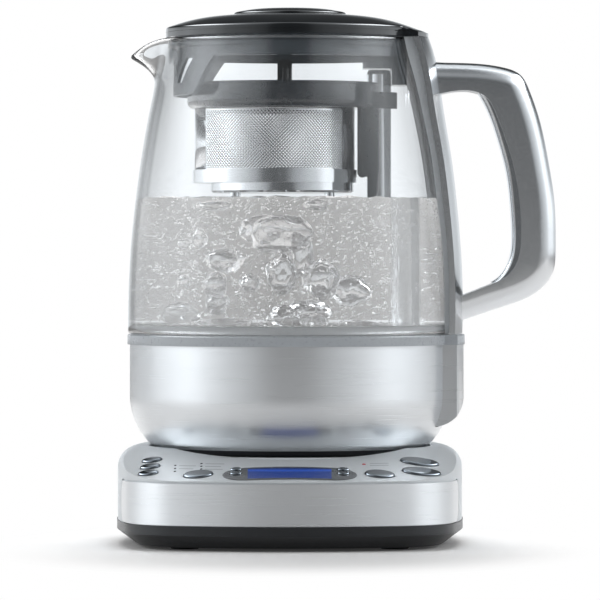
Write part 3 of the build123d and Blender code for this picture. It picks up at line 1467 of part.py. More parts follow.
with BuildPart() as basket_base:
    with BuildSketch(level(MESH_BOTTOM_Z - BASE_SHEET)):
        with Locations((MESH_CENTRE_X, 0)):
            Circle(MESH_RADIUS)
    extrude(amount=BASE_SHEET)
    add(
        turned(
            [
                (0, DISH_BOTTOM_Z),
                (DISH_RADIUS - 1.2, DISH_BOTTOM_Z),
                (DISH_RADIUS, DISH_BOTTOM_Z + 1.0),
                (DISH_RADIUS, MESH_BOTTOM_Z - BASE_SHEET),
                (DISH_RADIUS - 1, MESH_BOTTOM_Z - BASE_SHEET),
                (DISH_RADIUS - 1, DISH_BOTTOM_Z + 1.0),
                (0, DISH_BOTTOM_Z + 1.0),
            ],
            DISH_CENTRE_X,
        )
    )
    # small feet, so the basket can stand on a worktop
    with BuildSketch(level(DISH_BOTTOM_Z - DISH_FOOT)):
        with Locations((DISH_CENTRE_X, 0)):
            with GridLocations(FOOT_SPACING_X, FOOT_SPACING_Y, 2, 2):
                Circle(BASKET_FOOT_RADIUS)
    extrude(amount=DISH_FOOT)
save(basket_base, "basket_base")

with BuildPart() as basket_lid:
    with BuildSketch(level(BASKET_LID_Z)):
        with Locations((RIM_CENTRE_X, 0)):
            Circle(BASKET_RIM_RADIUS - BASKET_RIM_WALL - 1.0)
        with Locations((POST_X, 0)):
            Circle(COLLAR_RADIUS + 0.5, mode=Mode.SUBTRACT)
    extrude(amount=BASKET_LID_THICKNESS)
    with BuildSketch(level(BASKET_LID_Z + BASKET_LID_THICKNESS)):
        with Locations((BASKET_KNOB_X, 0)):
            Circle(BASKET_KNOB_FOOT_RADIUS)
    extrude(amount=BASKET_KNOB_FOOT_HEIGHT)
    with BuildSketch(level(BASKET_LID_Z + BASKET_LID_THICKNESS)):
        with Locations((BASKET_KNOB_X, 0)):
            Circle(BASKET_KNOB_RADIUS)
    extrude(amount=BASKET_KNOB_TOP_Z - BASKET_LID_Z - BASKET_LID_THICKNESS)
    fillet(basket_lid.faces().sort_by(Axis.Z)[-1].edges(), radius=1)
save(basket_lid, "basket_lid")
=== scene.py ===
import json
import math
import random

import bmesh
import bpy
from bpy.props import FloatProperty, FloatVectorProperty, IntProperty, PointerProperty
from mathutils import Matrix, Vector, noise
from mathutils.bvhtree import BVHTree

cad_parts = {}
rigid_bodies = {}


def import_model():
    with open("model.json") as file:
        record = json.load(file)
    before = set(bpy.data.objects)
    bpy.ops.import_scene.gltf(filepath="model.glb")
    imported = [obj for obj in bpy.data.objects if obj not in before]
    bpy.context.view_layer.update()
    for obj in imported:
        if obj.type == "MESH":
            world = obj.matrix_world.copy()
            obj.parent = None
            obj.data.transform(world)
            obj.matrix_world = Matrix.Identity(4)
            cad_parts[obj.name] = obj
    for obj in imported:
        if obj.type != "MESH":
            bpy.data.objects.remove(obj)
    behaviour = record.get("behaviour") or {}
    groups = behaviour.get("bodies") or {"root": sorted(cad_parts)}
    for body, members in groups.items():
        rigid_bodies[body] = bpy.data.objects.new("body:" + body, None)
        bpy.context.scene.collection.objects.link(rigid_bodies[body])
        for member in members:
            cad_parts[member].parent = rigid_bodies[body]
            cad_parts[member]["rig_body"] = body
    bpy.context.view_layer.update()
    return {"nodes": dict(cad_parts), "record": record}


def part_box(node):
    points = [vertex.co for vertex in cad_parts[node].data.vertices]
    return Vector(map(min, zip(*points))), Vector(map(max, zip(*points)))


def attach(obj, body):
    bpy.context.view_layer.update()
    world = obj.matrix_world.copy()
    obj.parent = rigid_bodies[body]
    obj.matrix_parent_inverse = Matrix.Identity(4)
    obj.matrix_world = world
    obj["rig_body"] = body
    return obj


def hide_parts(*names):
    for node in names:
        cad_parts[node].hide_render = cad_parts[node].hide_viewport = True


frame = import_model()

bl_info = {
    "name": "Automatic Tea Maker",
    "version": (1, 0, 0),
    "blender": (4, 5, 0),
    "location": "View3D > Sidebar > Tea Maker",
    "description": "Builds a glass tea maker on its powered base, piece by piece",
    "category": "Add Mesh",
}

MM = 0.001


def linear(hex_colour):
    """An sRGB hex colour as linear red, green and blue."""
    values = [int(hex_colour[i : i + 2], 16) / 255 for i in (1, 3, 5)]
    return tuple(v / 12.92 if v <= 0.04045 else ((v + 0.055) / 1.055) ** 2.4 for v in values)


def rgba(colour):
    """A colour at full opacity."""
    return (colour[0], colour[1], colour[2], 1.0)


# ------------------------ settings
def size_setting(name, description, size_mm):
    """A size that a user can change, given in millimetres."""
    return FloatProperty(name=name, description=description, default=size_mm * MM, unit="LENGTH")


def colour_setting(name, description, hex_colour):
    """A colour that a user can change."""
    return FloatVectorProperty(
        name=name, description=description, default=linear(hex_colour), subtype="COLOR"
    )


class JugSettings(bpy.types.PropertyGroup):
    """Sizes of the glass jug and of the water in it"""

    wall: size_setting("Glass wall", "Thickness of the jug's glass", 2.8)
    water_level: size_setting("Water level", "Height of the water's surface above the table", 167.6)
    small_bubbles: IntProperty(
        name="Small bubbles", description="Number of fine bubbles in the water", default=5200
    )
    lip_reach: size_setting("Lip reach", "How far the pouring lip stands out from the rim", 17.8)
    lip_drop: size_setting("Lip drop", "How far the rim dips to the tip of the lip", 9.8)


class BasketSettings(bpy.types.PropertyGroup):
    """Sizes of the tea basket's perforated wall"""

    pitch: size_setting("Hole pitch", "Distance between holes along a row", 1.7)
    strand: size_setting("Strand", "Steel left between two holes", 0.55)
    sheet: size_setting("Sheet", "Thickness of the perforated steel", 0.4)


class ColourSettings(bpy.types.PropertyGroup):
    """Colours of the main finishes"""

    steel: colour_setting("Steel", "Brushed stainless steel", "#D2D4D6")
    bright: colour_setting("Bright metal", "Polished steel and chrome", "#DADCDE")
    silver: colour_setting("Silver lacquer", "Painted control panel", "#C4C8CB")
    black: colour_setting("Black", "Black mouldings", "#101317")
    slate: colour_setting("Slate", "Dark slate mouldings", "#20262C")
    ring: colour_setting("Collar grey", "Mid-grey collar", "#9CA1A6")
    display: colour_setting("Display", "Backlit display", "#083C98")


class StageSettings(bpy.types.PropertyGroup):
    """Colour of the studio floor and the camera's lens"""

    floor: colour_setting("Floor", "Studio floor", "#F4F4F4")
    lens: FloatProperty(
        name="Lens", description="Focal length of the camera", default=294.0, unit="CAMERA"
    )


SETTINGS = {
    "tea_jug": JugSettings,
    "tea_basket": BasketSettings,
    "tea_colours": ColourSettings,
    "tea_stage": StageSettings,
}


# ------------------------ material building blocks
def add_node(tree, kind, values=None, links=None, **attributes):
    """Adds a shader node, sets its inputs and attributes, and links sockets into it."""
    new = tree.nodes.new(kind)
    for key, value in attributes.items():
        setattr(new, key, value)
    for key, value in (values or {}).items():
        new.inputs[key].default_value = value
    for key, socket in (links or {}).items():
        tree.links.new(socket, new.inputs[key])
    return new


def calculate(tree, operation, *terms):
    """Result of a math node whose terms are numbers and sockets."""
    node = add_node(tree, "ShaderNodeMath", operation=operation)
    for entry, term in zip(node.inputs, terms):
        if isinstance(term, (int, float)):
            entry.default_value = term
        else:
            tree.links.new(term, entry)
    return node.outputs[0]


def share_of(tree, socket, low, high, **attributes):
    """How far a value is on its way from low to high."""
    values = {"From Min": low, "From Max": high}
    return add_node(tree, "ShaderNodeMapRange", values, {"Value": socket}, **attributes).outputs[0]


def bumps(tree, texture, depth_mm, strength=1.0):
    """Normal of a surface that a texture roughens."""
    values = {"Strength": strength, "Distance": depth_mm * MM}
    return add_node(tree, "ShaderNodeBump", values, {"Height": texture.outputs[0]}).outputs[0]


def new_material(name):
    """An empty material with its tree and output."""
    material = bpy.data.materials.new(name)
    material.use_nodes = True
    tree = material.node_tree
    tree.nodes.clear()
    return material, tree, add_node(tree, "ShaderNodeOutputMaterial")


def grain(tree, size_mm, detail):
    """Noise over the object whose features measure size_mm along X, Y and Z."""
    coords = add_node(tree, "ShaderNodeTexCoord")
    mapping = add_node(
        tree,
        "ShaderNodeMapping",
        {"Scale": [1 / (side * MM) for side in size_mm]},
        {"Vector": coords.outputs["Object"]},
    )
    values = {"Scale": 1.0, "Detail": detail}
    return add_node(tree, "ShaderNodeTexNoise", values, {"Vector": mapping.outputs[0]})


# Nearly all of a noise texture's values lie between these
NOISE_LOW = 0.3
NOISE_HIGH = 0.7


def ranged(tree, socket, middle, spread):
    """A noise value spread evenly to both sides of a middle value, by a share of it."""
    values = {
        "From Min": NOISE_LOW,
        "From Max": NOISE_HIGH,
        "To Min": middle * (1 - spread),
        "To Max": middle * (1 + spread),
    }
    return add_node(tree, "ShaderNodeMapRange", values, {"Value": socket}).outputs[0]


# A colour ramp's own values end at 1, so they are stored as shares of this
RAMP_TOP = 2.0


def add_ramp(tree, socket, stops):
    """A value read off a line through stops, each a position and a value of at most RAMP_TOP."""
    ramp = add_node(tree, "ShaderNodeValToRGB", {}, {0: socket})
    elements = ramp.color_ramp.elements
    while len(elements) < len(stops):
        elements.new(0.5)
    for element, (position, _) in zip(elements, stops):
        element.position = position
    for element, (_, value) in zip(elements, stops):
        element.color = rgba([value / RAMP_TOP] * 3)
    return calculate(tree, "MULTIPLY", ramp.outputs[0], RAMP_TOP)


def finish_shader(material, tree, output, values, links):
    """Ends a material in a Principled shader with these values and links."""
    shader = add_node(tree, "ShaderNodeBsdfPrincipled", values, links)
    tree.links.new(shader.outputs[0], output.inputs["Surface"])
    return material


def mix_colour(tree, factor, colour, spread):
    """Colour socket varied around a base colour."""
    mix = tree.nodes.new("ShaderNodeMix")
    mix.data_type = "RGBA"
    sockets = [s for s in mix.inputs if s.type == "RGBA"]
    sockets[0].default_value = rgba([c * (1 - spread) for c in colour])
    sockets[1].default_value = rgba([min(1.0, c * (1 + spread)) for c in colour])
    tree.links.new(factor, mix.inputs[0])
    return [s for s in mix.outputs if s.type == "RGBA"][0]


# How much roughness and colour vary over a finish, as shares of them
METAL_SPREAD = 0.1
MOULDED_SPREAD = 0.15
MOULDED_TINT = 0.05
# How strongly a mould's texture shows
MOULDED_BUMP = 0.6
# A turn of the highlights, as a share of a full one
QUARTER_TURN = 0.25
POLYMER_IOR = 1.5
COAT_ROUGHNESS = 0.04


def metal(name, colour, roughness, size_mm, bump_mm, spread=0.04, anisotropy=0.0, metallic=1.0):
    """A metal whose polishing marks measure size_mm."""
    material, tree, output = new_material(name)
    marks = grain(tree, size_mm, detail=3.0)
    links = {
        "Base Color": mix_colour(tree, marks.outputs[0], colour, spread),
        "Roughness": ranged(tree, marks.outputs[0], roughness, METAL_SPREAD),
        "Normal": bumps(tree, marks, bump_mm),
    }
    if anisotropy:
        # the brushing runs round the upright axis, so highlights stretch across it
        around = add_node(tree, "ShaderNodeTangent", direction_type="RADIAL", axis="Z")
        links["Tangent"] = around.outputs[0]
    values = {"Metallic": metallic, "Anisotropic": anisotropy, "Anisotropic Rotation": QUARTER_TURN}
    return finish_shader(material, tree, output, values, links)


def moulded(name, colour, roughness, texture_mm, bump_mm, coat=0.0, transmission=0.0):
    """A moulded plastic with the fine texture of its mould."""
    material, tree, output = new_material(name)
    texture = grain(tree, (texture_mm,) * 3, detail=4.0)
    return finish_shader(
        material,
        tree,
        output,
        {
            "Coat Weight": coat,
            "Coat Roughness": COAT_ROUGHNESS,
            "IOR": POLYMER_IOR,
            "Transmission Weight": transmission,
        },
        {
            "Base Color": mix_colour(tree, texture.outputs[0], colour, MOULDED_TINT),
            "Roughness": ranged(tree, texture.outputs[0], roughness, MOULDED_SPREAD),
            "Normal": bumps(tree, texture, bump_mm, MOULDED_BUMP),
        },
    )


# ------------------------ the object's materials
# Painted shade on the glass's colour: how much light it passes, from seen square on (0) to seen edge on (1);
# it darkens towards edge on
GLASS_PAINTED_EDGE_SHADE = [(0.0, 0.99), (0.3, 0.97), (0.42, 0.88), (0.6, 0.8)]
GLASS_PAINTED_EDGE_SHADE += [(0.68, 0.72), (0.74, 0.2), (0.86, 0.2), (1.0, 0.6)]

# Painted shade: a bubble's colour darkens towards its rim, where it throws the light aside
BUBBLE_PAINTED_RIM_SHADE = [(0.0, 0.8), (0.3, 0.6), (0.55, 0.3), (0.8, 0.14), (1.0, 0.1)]
# Painted shade on fine bubbles, darker towards their rims, so that near the glass they show as grey specks
HAZE_PAINTED_RIM_SHADE = [(0.0, 1.0), (0.4, 0.95), (0.7, 0.6), (1.0, 0.35)]
GLASS_IOR = 1.47
WATER_IOR = 1.333
# Size and depth of the ripples in a clear body's surface, in millimetres
RIPPLE = (30, 30, 60)
RIPPLE_DEPTH = 0.05
RIPPLE_STRENGTH = 0.2
# What a clear body lets straight through, of the light that isn't seen directly
STRAIGHT_SHARE = 0.97


def clear(name, ior, edge=None, veil=0.0, sheen=1.0):
    """A clear refracting body with hardly visible ripples; it may have painted shade that darkens its colour
    towards its edges, or be milky.
    """
    material, tree, output = new_material(name)
    ripple = grain(tree, RIPPLE, detail=1.0)
    links = {"Normal": bumps(tree, ripple, RIPPLE_DEPTH, RIPPLE_STRENGTH)}
    # painted shade: the colour darkens the more edge on the surface is seen
    if edge:
        facing = add_node(tree, "ShaderNodeLayerWeight", {"Blend": 0.5})
        links["Base Color"] = add_ramp(tree, facing.outputs["Facing"], edge)
    values = {
        "Base Color": (1, 1, 1, 1),
        "Roughness": 0.0,
        "IOR": ior,
        "Transmission Weight": 1 - veil,
        "Specular Tint": (sheen, sheen, sheen, 1),
    }
    body = add_node(tree, "ShaderNodeBsdfPrincipled", values, links)
    # light falls straight through, so that what is inside is lit like what is outside
    through = add_node(tree, "ShaderNodeBsdfTransparent", {"Color": rgba([STRAIGHT_SHARE] * 3)})
    path = add_node(tree, "ShaderNodeLightPath")
    unbent = calculate(tree, "MAXIMUM", path.outputs["Is Shadow Ray"], path.outputs["Is Diffuse Ray"])
    shaders = {0: unbent, 1: body.outputs[0], 2: through.outputs[0]}
    both = add_node(tree, "ShaderNodeMixShader", {}, shaders)
    tree.links.new(both.outputs[0], output.inputs["Surface"])
    return material


# The display's glow by height, from its lower edge to its upper edge
DISPLAY_GLOW = [(0.0, 0.35), (0.3, 0.45), (0.74, 0.45), (0.84, 1.2), (0.93, 0.3)]
DISPLAY_CELL = 0.6
DISPLAY_UNLIT_SHARE = 0.2


def backlit(colour):
    """The display: glowing blue, a little brighter along its upper edge, under a clear window."""
    material, tree, output = new_material("backlit_display")
    low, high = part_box("display_window")
    coords = add_node(tree, "ShaderNodeTexCoord")
    split = add_node(tree, "ShaderNodeSeparateXYZ", {}, {0: coords.outputs["Object"]})
    glow = add_ramp(tree, share_of(tree, split.outputs["Z"], low.z, high.z), DISPLAY_GLOW)
    cells = grain(tree, (DISPLAY_CELL,) * 3, detail=1.0)
    tint = mix_colour(tree, cells.outputs[0], colour, spread=0.1)
    return finish_shader(
        material,
        tree,
        output,
        {"Roughness": 0.12, "Base Color": rgba([c * DISPLAY_UNLIT_SHARE for c in colour])},
        {"Emission Color": tint, "Emission Strength": glow},
    )


def make_materials():
    """Every finish of the tea maker, by name."""
    colours = bpy.context.scene.tea_colours
    made = {}
    # 304 stainless, belt-brushed round the cup: streaks run level, so highlights spread upright; they are
    # 0.25 mm wide, coarser than a real belt's, so that they show
    made["brushed_stainless"] = metal(
        "brushed_stainless", colours.steel, 0.3, (60, 60, 0.25), 0.0012, spread=0.015, anisotropy=0.6
    )
    # polished 304: nearly a mirror, with faint buffing haze
    made["polished_stainless"] = metal("polished_stainless", colours.bright, 0.1, (3, 3, 3), 0.0008, 0.01)
    # satin chrome on cast zinc: soft reflections without visible grain
    made["satin_chrome"] = metal("satin_chrome", colours.bright, 0.2, (1.2, 1.2, 1.2), 0.001, 0.01)
    # silver lacquer over ABS: fine metal flakes in a clear satin coat
    made["silver_lacquer"] = metal(
        "silver_lacquer", colours.silver, 0.42, (0.5, 0.5, 0.5), 0.006, spread=0.05, metallic=0.2
    )
    # high-gloss black ABS: deep black with a clear mirror-like skin
    made["gloss_black_abs"] = moulded("gloss_black_abs", linear("#0E1215"), 0.12, 6.0, 0.002, coat=0.5)
    # polypropylene with a fine spark-eroded mould texture: near black and soft
    made["matt_black_polypropylene"] = moulded("matt_black_polypropylene", colours.black, 0.32, 0.6, 0.02)
    # slate copolyester: tinted, lets some light through
    made["slate_copolyester"] = moulded(
        "slate_copolyester", linear("#3A444C"), 0.2, 8.0, 0.004, coat=0.5, transmission=0.4
    )
    # slate ABS, opaque under a clear glossy skin
    made["slate_abs"] = moulded("slate_abs", colours.slate, 0.25, 5.0, 0.004, coat=1.0)
    # grey satin ABS collar
    made["collar_abs"] = moulded("collar_abs", colours.ring, 0.3, 1.5, 0.004, coat=0.4)
    # moulded silicone: pale, slightly translucent and dull
    made["silicone"] = moulded("silicone", linear("#B9BDC0"), 0.45, 2.0, 0.02, transmission=0.2)
    # nitrile rubber: dull and dark
    made["nitrile_rubber"] = moulded("nitrile_rubber", linear("#1B1B1C"), 0.7, 0.8, 0.05)
    # dark chrome of the keys: polished, smoke-tinted
    made["smoked_chrome"] = metal("smoked_chrome", linear("#666B70"), 0.08, (2, 2, 2), 0.0008, 0.01)
    # pale grey ABS liner between the glass and the handle's spine: satin under a thin gloss
    made["grey_liner_abs"] = moulded("grey_liner_abs", linear("#B2B7BB"), 0.25, 4.0, 0.004, coat=0.5)
    # glass-fibre circuit board under green solder resist
    made["circuit_board"] = moulded("circuit_board", linear("#1E5A38"), 0.3, 1.2, 0.01, coat=0.3)
    # stamped brass: warm, lightly polished
    made["brass"] = metal("brass", linear("#C9A45A"), 0.25, (0.8, 0.8, 0.8), 0.01)
    # nickel plate on magnets and steel hardware: bright, a little warm
    made["nickel_plate"] = metal("nickel_plate", linear("#B9BBBA"), 0.22, (1.0, 1.0, 1.0), 0.01)
    # white ABS reflector inside the display: matt
    made["white_reflector"] = moulded("white_reflector", linear("#E6E6E2"), 0.5, 1.0, 0.01)
    # blown borosilicate glass: clear square on, with painted shade that makes it grey where it is seen edge
    # on
    made["borosilicate_glass"] = clear("borosilicate_glass", GLASS_IOR, GLASS_PAINTED_EDGE_SHADE)
    # boiling water: fine air bubbles below sight make it slightly milky
    made["water"] = clear("water", WATER_IOR, veil=0.2)
    # air seen from inside water bends light the other way; large bubbles have painted shade darkening their
    # rims
    made["air_in_water"] = clear("air_in_water", 1 / WATER_IOR, BUBBLE_PAINTED_RIM_SHADE, sheen=0.2)
    # fine bubbles: the same air, with paler painted shade on their rims, so that thousands of them don't
    # darken the water
    made["fine_air_in_water"] = clear("fine_air_in_water", 1 / WATER_IOR, HAZE_PAINTED_RIM_SHADE, sheen=0.6)
    # liquid crystal display under a clear window: glows blue
    made["backlit_display"] = backlit(colours.display)
    # smoked acrylic light pipes: nearly black while they are off
    made["light_pipe"] = moulded("light_pipe", linear("#1B1D20"), 0.2, 1.0, 0.005)
    # red acrylic light pipe: muted red
    made["red_light_pipe"] = moulded("red_light_pipe", linear("#B04048"), 0.2, 1.0, 0.005)
    # pad-printed ink: mid grey and matt
    made["legend_ink"] = moulded("legend_ink", linear("#7D8186"), 0.5, 0.6, 0.004)
    return made


MATERIALS = {}


def give(piece, finish, body, slot, *replaced):
    """Gives a finished piece its material and its body, and hides the nodes it stands for; slot is not used.
    """
    piece.data.materials.clear()
    piece.data.materials.append(MATERIALS[finish])
    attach(piece, body)
    if replaced:
        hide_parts(*replaced)


# ------------------------ mesh building blocks
def to_object(name, mesh_data):
    """Turns a bmesh into an object at the origin."""
    mesh = bpy.data.meshes.new(name)
    mesh_data.to_mesh(mesh)
    mesh_data.free()
    piece = bpy.data.objects.new(name, mesh)
    bpy.context.scene.collection.objects.link(piece)
    return piece


# Angles in degrees that stay smooth: on most pieces, on the water, and on wholly rounded pieces
SMOOTH_ANGLE = 35.0
WATER_ANGLE = 60
ANY_ANGLE = 180


def shade(mesh_data, angle=SMOOTH_ANGLE):
    """Smooth shading with sharp edges kept above an angle in degrees."""
    for face in mesh_data.faces:
        face.smooth = True
    limit = math.radians(angle)
    for edge in mesh_data.edges:
        edge.smooth = edge.calc_face_angle(0.0) < limit


# Points of one mesh closer than this, in millimetres, are one point
SAME_POINT = 0.001
TURNED_STEPS = 128


def chain(mesh_data, points):
    """A chain of edges through points in millimetres."""
    verts = [mesh_data.verts.new(Vector(point) * MM) for point in points]
    edges = [mesh_data.edges.new(pair) for pair in zip(verts, verts[1:])]
    return verts + edges


def turned(points):
    """A bmesh turned about the jug's axis from radius and height pairs in millimetres."""
    mesh_data = bmesh.new()
    line = chain(mesh_data, [(radius, 0, height) for radius, height in points])
    bmesh.ops.spin(
        mesh_data,
        geom=line,
        cent=(0, 0, 0),
        axis=(0, 0, 1),
        angle=math.tau,
        steps=TURNED_STEPS,
        use_merge=True,
    )
    bmesh.ops.remove_doubles(mesh_data, verts=mesh_data.verts, dist=SAME_POINT * MM)
    bmesh.ops.recalc_face_normals(mesh_data, faces=mesh_data.faces)
    return mesh_data


def store(part, whole):
    """Adds one bmesh to another and frees it."""
    mesh = bpy.data.meshes.new("part")
    part.to_mesh(mesh)
    part.free()
    whole.from_mesh(mesh)
    bpy.data.meshes.remove(mesh)


def add_subdivision(piece, levels):
    """Rounds a piece's faces, as often as levels says."""
    modifier = piece.modifiers.new("Smooth form", "SUBSURF")
    modifier.levels = modifier.render_levels = levels


def add_wall(piece, thickness):
    """Gives a sheet its thickness, inwards from its outer face."""
    modifier = piece.modifiers.new("Wall", "SOLIDIFY")
    modifier.thickness = thickness
    modifier.offset = -1.0
    modifier.use_even_offset = True


# Corners of a node's loose triangles closer than this, in millimetres, are joined
JOIN_REACH = 0.002


def joined_copy(node, name):
    """A copy of a node's mesh with its triangles joined and its curved faces shaded smooth."""
    mesh_data = bmesh.new()
    mesh_data.from_mesh(frame["nodes"][node].data)
    bmesh.ops.remove_doubles(mesh_data, verts=mesh_data.verts, dist=JOIN_REACH * MM)
    bmesh.ops.dissolve_degenerate(mesh_data, edges=mesh_data.edges, dist=JOIN_REACH * MM)
    shade(mesh_data)
    piece = to_object(name, mesh_data)
    for layer in [a for a in piece.data.attributes if a.name == "custom_normal"]:
        piece.data.attributes.remove(layer)
    return piece


def body_of(node):
    """The body that a node moves with."""
    return frame["nodes"][node]["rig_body"]


def slot_of(node):
    """The material slot that the part's record gives a node."""
    return next(s["material_slot"] for s in frame["record"]["subparts"] if s["node"] == node)


def dress(finish, *nodes):
    """Joined, smooth copies of nodes with a finish, standing for those nodes."""
    for node in nodes:
        give(joined_copy(node, node + "_skin"), finish, body_of(node), slot_of(node), node)


def paint(finish, *nodes):
    """A finish on nodes that stay as they are."""
    for node in nodes:
        mesh = frame["nodes"][node].data
        mesh.materials.clear()
        mesh.materials.append(MATERIALS[finish])


# ------------------------ operators
class BuildOperator:
    """Shared settings of the building operators."""

    bl_options = {"REGISTER", "UNDO"}


class TEAMAKER_OT_finishes(BuildOperator, bpy.types.Operator):
    """Makes every finish of the tea maker"""

    bl_idname = "teamaker.finishes"
    bl_label = "Finishes"

    def execute(self, context):
        MATERIALS.update(make_materials())
        return {"FINISHED"}


class TEAMAKER_OT_base(BuildOperator, bpy.types.Operator):
    """Dresses the powered base: cover, steel band, housing, feet, gland and socket"""

    bl_idname = "teamaker.base"
    bl_label = "Base"

    def execute(self, context):
        dress("silver_lacquer", "base_top_cover")
        dress("brushed_stainless", "base_front_plate")
        dress("matt_black_polypropylene", "base_lower_housing", "cord_gland", "base_socket")
        dress("nitrile_rubber", "rubber_feet")
        dress("nickel_plate", "base_screws")
        dress("brass", "socket_contacts")
        return {"FINISHED"}


# The panel's front bows about this point behind it
PANEL_BOW_Y = 52.0
# Printed bars: place across, reach from the bow's point and length in millimetres
LEGENDS = [
    (-48.6, 130.4, 8.0),
    (-49.2, 134.2, 7.0),
    (-35.6, 127.4, 9.0),
    (-36.4, 130.9, 7.6),
    (-36.0, 134.4, 8.4),
    (42.6, 127.0, 9.0),
    (42.6, 129.6, 9.0),
]
LEGEND_WIDTH = 0.55
LEGEND_STEPS = 8
# How far the ink stands off the panel, and the height that its bars are dropped from
LEGEND_RISE = 0.03
LEGEND_DROP_Z = 60.0


class TEAMAKER_OT_panel(BuildOperator, bpy.types.Operator):
    """Dresses the control panel: display, keys, lights and printed bars"""

    bl_idname = "teamaker.panel"
    bl_label = "Control panel"

    def execute(self, context):
        dress("slate_abs", "display_surround")
        dress("backlit_display", "display_window")
        dress("light_pipe", "indicator_lights")
        lights = bpy.data.objects["indicator_lights_skin"].data
        lights.materials.append(MATERIALS["red_light_pipe"])
        # the lights on the right half of the panel are red
        for face in lights.polygons:
            face.material_index = int(face.center.x > 0)
        dress("smoked_chrome", *[node for node in frame["nodes"] if node.endswith("_key")])
        self.legends()
        return {"FINISHED"}

    def legends(self):
        """Plain printed bars beside the lights, laid on the panel."""
        cover = bmesh.new()
        cover.from_mesh(frame["nodes"]["base_top_cover"].data)
        panel = BVHTree.FromBMesh(cover)
        cover.free()
        ink = bmesh.new()
        for x, reach, length in LEGENDS:
            bar = bmesh.ops.create_grid(ink, x_segments=LEGEND_STEPS, y_segments=1, size=0.5)["verts"]
            for vert in bar:
                across = x + vert.co.x * length
                out = reach + vert.co.y * LEGEND_WIDTH
                spot = Vector((across, PANEL_BOW_Y - math.sqrt(out**2 - across**2), LEGEND_DROP_Z)) * MM
                hit = panel.ray_cast(spot, Vector((0, 0, -1)))[0]
                vert.co = hit + Vector((0, 0, LEGEND_RISE * MM))
        bmesh.ops.recalc_face_normals(ink, faces=ink.faces)
        for face in ink.faces:
            if face.normal.z < 0:
                face.normal_flip()
        cover_node = "base_top_cover"
        give(to_object("panel_legends", ink), "legend_ink", body_of(cover_node), slot_of(cover_node))


class TEAMAKER_OT_electrics(BuildOperator, bpy.types.Operator):
    """Gives the boards and the parts inside the base their finishes"""

    bl_idname = "teamaker.electrics"
    bl_label = "Electrics"

    def execute(self, context):
        paint("circuit_board", "power_board", "control_board")
        paint("matt_black_polypropylene", "heater_relay", "tact_switches")
        paint("brass", "transformer")
        paint("white_reflector", "display_module")
        return {"FINISHED"}


class TEAMAKER_OT_jug_base(BuildOperator, bpy.types.Operator):
    """Dresses the steel cup, its cover, the collar and the heater"""

    bl_idname = "teamaker.jug_base"
    bl_label = "Steel cup and heater"

    def execute(self, context):
        dress("brushed_stainless", "steel_cup")
        dress("collar_abs", "collar_ring")
        dress("matt_black_polypropylene", "jug_bottom_cover", "jug_connector")
        dress("silicone", "glass_seal")
        dress("polished_stainless", "heater_plate", "temperature_probe")
        paint("nickel_plate", "heating_element")
        return {"FINISHED"}


# Outer line of the glass as radius and height in millimetres
GLASS_LINE = [
    (79.3, 101.6),
    (79.3, 104.0),
    (79.28, 111.0),
    (79.2, 118.0),
    (78.95, 126.0),
    (78.6, 134.0),
    (78.1, 143.0),
    (77.3, 152.0),
    (76.3, 161.5),
    (75.1, 171.0),
    (73.8, 181.0),
    (72.3, 191.0),
    (70.6, 201.0),
    (68.7, 211.0),
    (66.9, 219.5),
    (65.3, 226.5),
    (63.9, 232.0),
    (62.7, 237.0),
    (61.8, 241.0),
    (61.2, 244.0),
    (60.9, 246.0),
]
LIP_START_Z = 223.0
LIP_HALF_ANGLE = 23.0
# How sharply the lip narrows from its middle to its sides, and steepens towards the rim
LIP_SIDE_POWER = 1.7
LIP_RISE_POWER = 1.8
LIP_DIP_POWER = 2.2
LIP_PINCH = 0.25


def shape_lip(mesh_data, reach, drop):
    """Draws the rim on the spout's side out and down into a pouring lip."""
    top = GLASS_LINE[-1][1] * MM
    start = LIP_START_Z * MM
    for vert in mesh_data.verts:
        if vert.co.z <= start or vert.co.x >= 0:
            continue
        off_axis = math.degrees(abs(math.atan2(vert.co.y, -vert.co.x))) / LIP_HALF_ANGLE
        if off_axis >= 1:
            continue
        share = math.cos(off_axis * math.pi / 2) ** LIP_SIDE_POWER
        rise = min(1.0, (vert.co.z - start) / (top - start))
        vert.co.x -= reach * share * rise**LIP_RISE_POWER
        vert.co.y *= 1 - LIP_PINCH * share * rise
        vert.co.z -= drop * share**LIP_DIP_POWER * rise


class TEAMAKER_OT_glass(BuildOperator, bpy.types.Operator):
    """Makes the glass jug with its pouring lip"""

    bl_idname = "teamaker.glass"
    bl_label = "Glass jug"

    def execute(self, context):
        settings = context.scene.tea_jug
        mesh_data = turned(GLASS_LINE)
        shape_lip(mesh_data, settings.lip_reach, settings.lip_drop)
        shade(mesh_data, ANY_ANGLE)
        piece = to_object("glass_jug_blown", mesh_data)
        add_wall(piece, settings.wall)
        add_subdivision(piece, levels=1)
        give(piece, "borosilicate_glass", "jug", "glass", "glass_jug")
        return {"FINISHED"}


def inner_radius(height_mm, wall_mm):
    """Radius of the glass's inner face at a height."""
    for (r0, z0), (r1, z1) in zip(GLASS_LINE, GLASS_LINE[1:]):
        if z0 <= height_mm <= z1:
            return r0 + (r1 - r0) * (height_mm - z0) / (z1 - z0) - wall_mm
    return GLASS_LINE[-1][0] - wall_mm


# The water's floor and its upright edge within the seal, as radius and height, then the heights of
# its side against the glass
WATER_FLOOR = [(0.0, 102.1), (30, 102.1), (71.0, 102.1), (71.0, 105.6)]
WATER_HEIGHTS = [106.2, 112, 120, 130, 140, 150, 160]
# The water reaches this far into the glass, so that no gap shows between them
WATER_OVERLAP = 0.12
# Its surface as rings, each a share of the full radius, how far below it the side ends, and how close
# to its level a point takes part in the waves
SURFACE_RINGS = (1.0, 0.94, 0.85, 0.75, 0.65, 0.55, 0.45, 0.35, 0.25, 0.15, 0.07, 0.0)
SURFACE_EDGE = 0.8
SURFACE_REACH = 0.1
